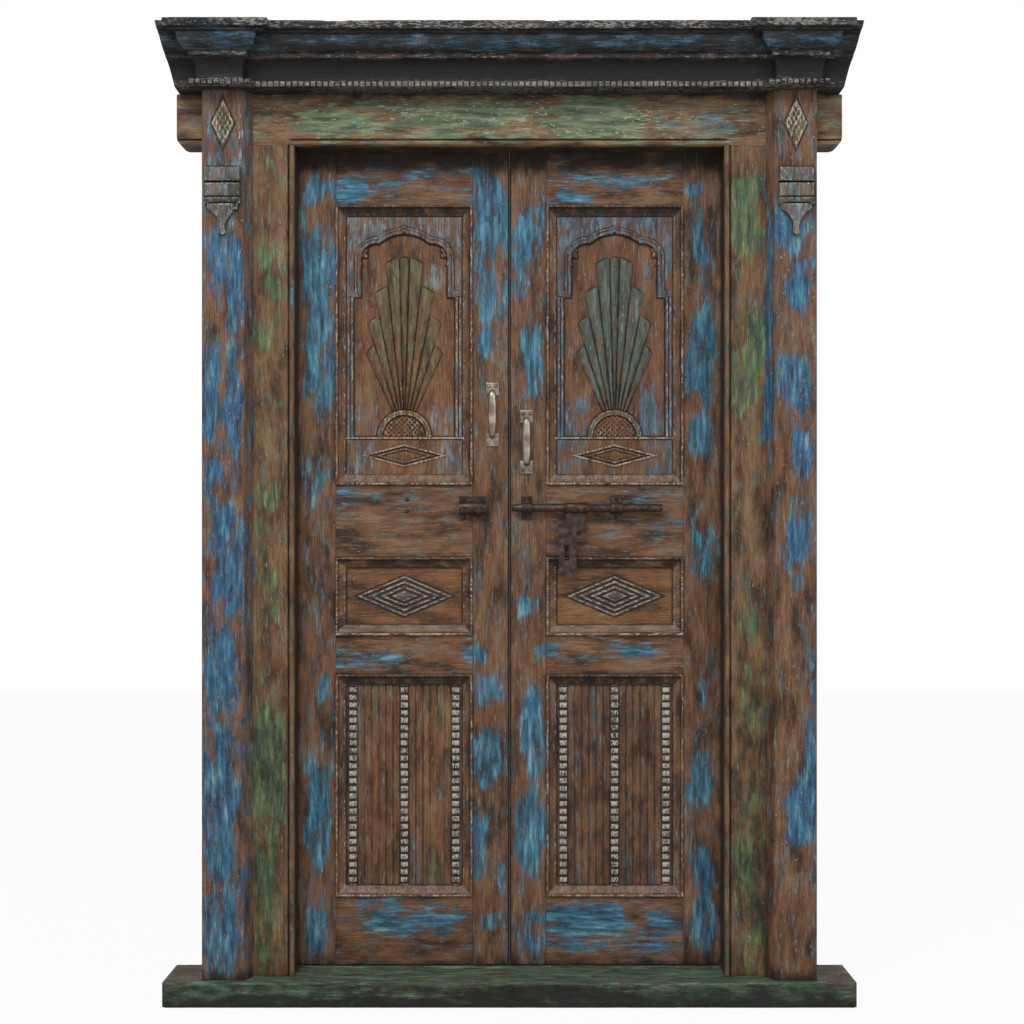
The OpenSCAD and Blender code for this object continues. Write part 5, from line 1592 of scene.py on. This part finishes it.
def door_patches() -> list[Patch]:
    """Where paint has lasted on the boards, member by member, as extents in mm read off the door.

    Returns:
        The patches of both pigments.
    """
    green = Pigment.SECOND
    area = Patch.over
    left_pilaster = [
        area((-646, -612), (1570, 1767)), area((-694, -654), (1629, 1776)),
        area((-704, -664), (1287, 1508)), area((-646, -612), (1287, 1473)),
        area((-700, -656), (1191, 1257)), area((-704, -618), (1028, 1161), 0.4),
        area((-680, -604), (894, 1055)), area((-694, -630), (678, 867)),
        area((-694, -630), (311, 630)), area((-694, -624), (67, 288), 0.4),
        area((-707, -664), (1520, 1630), -0.4), area((-707, -606), (57, 1150), 0.14, Pigment.GRIME)]
    right_pilaster = [
        area((586, 608), (1290, 1850), 0.7), area((608, 693), (1737, 1838)),
        area((644, 697), (1581, 1737)), area((621, 693), (1370, 1485)),
        area((651, 697), (1214, 1351)), area((626, 697), (972, 1124)), area((637, 699), (352, 527)),
        area((686, 708), (334, 770)), area((608, 660), (560, 960), -0.35),
        area((608, 645), (1130, 1350), -0.3), area((606, 700), (60, 330), -0.25)]
    left_jamb = [
        area((-566, -534), (1921, 1963), 0.7, green), area((-596, -542), (1707, 1775), 0.5, green),
        area((-562, -528), (1635, 1689), 0.8, green), area((-594, -532), (1489, 1587), 0.6, green),
        area((-596, -534), (1125, 1204), 0.55, green), area((-592, -570), (1076, 1113), 0.8, green),
        area((-574, -536), (872, 1014), 0.6, green), area((-602, -536), (366, 668), 0.8, green),
        area((-596, -536), (100, 366), 0.75, green),
        area((-606, -520), (60, 760), 0.26, Pigment.GRIME)]
    right_jamb = [
        area((516, 583), (1877, 1921), 0.7, green), area((516, 586), (1696, 1847), 0.8, green),
        area((553, 588), (1489, 1598), 0.8, green), area((516, 583), (1369, 1561), 0.5, green),
        area((530, 588), (837, 930), 0.55, green), area((537, 574), (619, 775), 0.55, green),
        area((530, 588), (121, 450), 0.65, green), area((520, 606), (60, 800), 0.36, Pigment.GRIME)]
    head = [
        area((-500, -316), (2002, 2074), 0.75, green), area((-250, -14), (2002, 2092), 0.6, green),
        area((88, 284), (2002, 2092), 0.8, green), area((292, 536), (2004, 2054), 0.5),
        area((-380, -346), (2010, 2066), 0.8), area((-772, -640), (1990, 2104), -0.4, green),
        area((-790, -690), (1970, 2110), -0.5, Pigment.GRIME),
        area((690, 790), (1970, 2110), -0.5, Pigment.GRIME),
        area((-600, 560), (1990, 2104), 0.3, green),
        area((-600, 600), (1990, 2104), 0.3, Pigment.PALE),
        area((-640, 640), (1986, 2104), -0.2, Pigment.GRIME)]
    left_leaf = [
        area((-486, -420), (1871, 1957), 0.6), area((-494, -418), (1599, 1815), 0.9),
        area((-490, -420), (1381, 1573), 0.75), area((-496, -424), (1139, 1265), 0.3),
        area((-450, -424), (691, 755), 0.6), area((-478, -424), (274, 568), 0.8),
        area((-494, -426), (80, 210), 0.7), area((-414, -342), (1874, 1922), 0.95),
        area((-414, -92), (1895, 1952), 0.4), area((-84, -4), (1734, 1940)),
        area((-76, -4), (1561, 1734), 0.85), area((-82, -44), (1492, 1561), 0.7),
        area((-90, -10), (667, 769), 0.6), area((-90, -24), (476, 611)), area((-90, -52), (281, 426)),
        area((-40, -10), (229, 317), 0.7), area((-70, -16), (144, 189), 0.6),
        area((-410, -354), (1151, 1196), 0.4), area((-108, -82), (1040, 1070), 0.6),
        area((-414, -226), (769, 805), 0.6), area((-131, -46), (777, 826), 0.7),
        area((-378, -103), (130, 217), 0.55), area((-194, -150), (1661, 1729), 0.6),
        area((-440, -80), (1025, 1210), -0.2, Pigment.GRIME), area((-430, -90), (1040, 1140), -0.1),
        area((-100, -2), (60, 760), 0.16, Pigment.GRIME)]
    right_leaf = [
        area((12, 76), (1715, 1860), 0.75), area((8, 44), (1623, 1698), 0.75),
        area((26, 78), (1400, 1592), 0.95), area((18, 60), (883, 942), 0.6),
        area((22, 82), (497, 755), 0.85), area((16, 82), (239, 468), 0.85),
        area((10, 82), (80, 217), 0.4), area((416, 462), (1883, 1914), 0.6),
        area((434, 474), (1684, 1834), 0.75), area((420, 488), (1376, 1611), 0.95),
        area((420, 474), (1277, 1376), 0.8), area((418, 488), (999, 1104), 0.45),
        area((448, 480), (646, 748), 0.6), area((412, 480), (423, 604), 0.75),
        area((434, 494), (108, 324), 0.75), area((82, 398), (1914, 1945), 0.5),
        area((88, 200), (1867, 1893), 0.7), area((286, 361), (1146, 1184), 0.4),
        area((300, 412), (1096, 1118), 0.5), area((60, 120), (784, 826), 0.6),
        area((219, 357), (791, 819), 0.55), area((82, 292), (137, 217), 0.8),
        area((319, 406), (144, 208), 0.7), area((82, 412), (87, 130), 0.3),
        area((312, 350), (1338, 1438), 0.6), area((148, 188), (1376, 1419), 0.5),
        area((316, 335), (1679, 1729), 0.6), area((80, 440), (1025, 1210), -0.15, Pigment.GRIME),
        area((60, 480), (80, 220), 0.2), area((90, 410), (230, 760), 0.14, Pigment.GRIME)]
    sill = [
        area((-790, -420), (0, 57), 0.25, green), area((330, 790), (0, 57), 0.25, green),
        area((-150, 250), (0, 50), 0.5, Pigment.GRIME), area((-795, -720), (52, 60), -0.7, green),
        area((720, 795), (52, 60), -0.7, green), area((-780, -560), (10, 40), 0.3, green)]
    return left_pilaster + right_pilaster + left_jamb + right_jamb + head + left_leaf + right_leaf + sill


BLACK_STEEL = AgedSteel("forged steel, black and rusty")
PULL_STEEL = AgedSteel(
    "cast pull handle, worn bright", skin="#75685c", worn="#a99e91", rust="#5f4a3b", rusty=0.4, metallic=0.8,
    roughness=0.3, dimple=26)


@dataclass
class Fittings:
    """Hinges, handles, nails and the sliding bolt, all CAD solids that take a steel finish."""

    shop: Workshop
    edge: float = 0.8
    fine_edge: float = 0.35
    leaf_front: float = 81.5
    handle_x: float = 40.4
    handle_h: float = 150
    handle_foot: dict[Side, float] = field(default_factory=lambda: {Side.LEFT: 1293, Side.RIGHT: 1228})
    pad: tuple[float, float, float] = (15, 3, 30)
    post: float = 21
    bend: float = 14
    grip_out: float = 32
    grip: tuple[float, float] = (6.5, 9.5)
    grip_depth: float = 4.6

    def handle(self, side: Side, material: bpy.types.Material) -> None:
        """A pull handle: two pads and a grip swept along a bow, broadest in the middle of its length.

        Args:
            side: the leaf that it is on.
            material: its finish.
        """
        foot = self.handle_foot[side]
        middle = side.sign * self.handle_x
        half, thick, tall = self.pad
        turn = np.linspace(0, np.pi / 2, 7)
        out = np.concatenate([
            [0, -9], -(self.grip_out - self.bend) - self.bend * np.sin(turn), np.full(8, -self.grip_out)])
        up = np.concatenate([
            [self.post] * 2, self.post + self.bend * (1 - np.cos(turn)),
            np.linspace(self.post + self.bend, self.handle_h / 2, 9)[1:]])
        out = np.concatenate([out, out[-2::-1]])
        up = np.concatenate([up, self.handle_h - up[-2::-1]])
        path = np.stack([out, up], axis=-1)
        ahead = np.gradient(path, axis=0)
        ahead /= np.linalg.norm(ahead, axis=1, keepdims=True)
        share = np.clip(np.abs(path[:, 1] / self.handle_h - 0.5) / 0.36, 0, 1)
        width = self.grip[1] + (self.grip[0] - self.grip[1]) * share ** 2
        around = np.linspace(0, 2 * np.pi, 20, endpoint=False)
        x = middle + width[:, None] * np.cos(around)
        lift = self.grip_depth * np.sin(around)
        y = self.leaf_front + path[:, :1] - ahead[:, 1:] * lift
        z = foot + path[:, 1:] + ahead[:, :1] * lift
        skin = Skin(np.stack([x, y, z], axis=-1).reshape(-1, 3), tube_faces(len(path), len(around)))
        section = rectangle((middle - half, middle + half), (self.leaf_front - thick, self.leaf_front))
        for start in (foot, foot + self.handle_h - tall):
            pad = Board(
                section, Axis.Z, start, start + tall, seed=501, radius=1, wear=0.5, waviness=0, step=4)
            skin = skin + pad.skin()
        node = f"{side.value}_handle"
        self.shop.piece(
            "worn_" + node, skin, material, f"{side.value}_leaf", "bright_steel", (node,), sharp=45)

    def build(self) -> None:
        """Dresses every steel node and makes the handles."""
        black = self.shop.steel(BLACK_STEEL)
        pull = self.shop.steel(PULL_STEEL)
        for side in Side:
            for name in ("frame_hinges", "leaf_hinges", "hinge_pins"):
                self.shop.dress(f"{side.value}_{name}", black, self.fine_edge)
            self.handle(side, pull)
            self.shop.dress(f"{side.value}_handle_screws", pull, self.fine_edge)
        for name in ("bolt_keeper", "bolt_guides", "bolt_rod", "bolt_hasp"):
            self.shop.dress(name, black, self.edge)
        for name in ("keeper_nails", "rail_nails", "guide_nails"):
            self.shop.dress(name, black, self.fine_edge)


@dataclass(frozen=True)
class Lamp:
    """A square soft lamp: place and size in metres, tilt from straight down and turn about Z in degrees."""

    name: str
    place: tuple[float, float, float]
    tilt: float
    turn: float
    size: float
    watts: float

    def build(self) -> None:
        """Hangs the lamp in the scene."""
        data = bpy.data.lights.new(self.name, "AREA")
        data.size = self.size
        data.energy = self.watts
        shape = bpy.data.objects.new(self.name, data)
        shape.location = self.place
        shape.rotation_euler = (math.radians(self.tilt), 0, math.radians(self.turn))
        bpy.context.scene.collection.objects.link(shape)


@dataclass
class Studio:
    """Pale floor, soft lamps and the camera in front of the door. Lengths here are in metres."""

    camera_at: tuple[float, float, float] = (0.006, -3.9, 1.023)
    lens: float = 59.1
    shift_up: float = 0.047
    floor_half: float = 9.0
    fill: float = 0.36
    floor_colour: str = "#f2f1ee"
    lamps: tuple[Lamp, ...] = (
        Lamp("key lamp", (-1.3, -3.6, 4.6), tilt=42, turn=-18, size=2.2, watts=128),
        Lamp("right lamp", (3.0, -3.0, 2.8), tilt=62, turn=44, size=2.2, watts=40))

    def build(self) -> None:
        """Sets up everything round the object."""
        self.floor()
        self.sky()
        for lamp in self.lamps:
            lamp.build()
        self.camera()
        bpy.context.scene.view_settings.view_transform = "Standard"

    def floor(self) -> None:
        """A level floor that looks white to the camera but still takes the object's shadow."""
        half = self.floor_half
        corners = np.array([[-half, -half, 0], [half, -half, 0], [half, half, 0], [-half, half, 0]])
        mesh = bpy.data.meshes.new("studio floor")
        mesh.from_pydata(corners.tolist(), [], [[0, 1, 2, 3]])
        material, tree, shader = new_material("matt white studio floor")
        shader.inputs["Base Color"].default_value = linear(self.floor_colour)
        shader.inputs["Roughness"].default_value = 0.9
        white = add(tree, "Emission", (1, 1, 1, 1), 1.0)
        seen = add(tree, "LightPath", give="Is Camera Ray")
        share = add(tree, "Math", seen, 0.95, operation="MULTIPLY")
        mixed = add(tree, "MixShader", share, shader.outputs["BSDF"], white)
        tree.links.new(mixed, tree.nodes["Material Output"].inputs["Surface"])
        mesh.materials.append(material)
        ground = bpy.data.objects.new("studio floor", mesh)
        bpy.context.scene.collection.objects.link(ground)

    def sky(self) -> None:
        """Even white surroundings: full white where seen or mirrored, softer where they light the door."""
        world = bpy.data.worlds.new("studio")
        world.use_nodes = True
        tree = world.node_tree
        tree.nodes.clear()
        path = add(tree, "LightPath", give="Is Camera Ray").node.outputs
        mirrored = add(tree, "Math", path["Is Glossy Ray"], path["Is Transmission Ray"], operation="MAXIMUM")
        shown = add(tree, "Math", path["Is Camera Ray"], mirrored, operation="MAXIMUM")
        strength = add(tree, "MapRange", shown, 0, 1, self.fill, 1)
        light = add(tree, "Background", (1, 1, 1, 1), strength)
        output = tree.nodes.new("ShaderNodeOutputWorld")
        tree.links.new(light, output.inputs["Surface"])
        bpy.context.scene.world = world

    def camera(self) -> None:
        """A level camera at about chest height, square on to the door."""
        data = bpy.data.cameras.new("camera")
        data.lens = self.lens
        data.shift_y = self.shift_up
        shape = bpy.data.objects.new("camera", data)
        shape.location = self.camera_at
        shape.rotation_euler = (math.radians(90), 0, 0)
        bpy.context.scene.collection.objects.link(shape)
        bpy.context.scene.camera = shape


def main() -> None:
    logging.basicConfig(level=logging.INFO, format="%(name)s: %(message)s")
    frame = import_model()
    shop = Workshop(frame, door_patches())
    DoorFrame(shop).build()
    Cornice(shop).build()
    for side in Side:
        Leaf(shop, side).build()
    Fittings(shop).build()
    Studio().build()


if __name__ == "__main__":
    main()
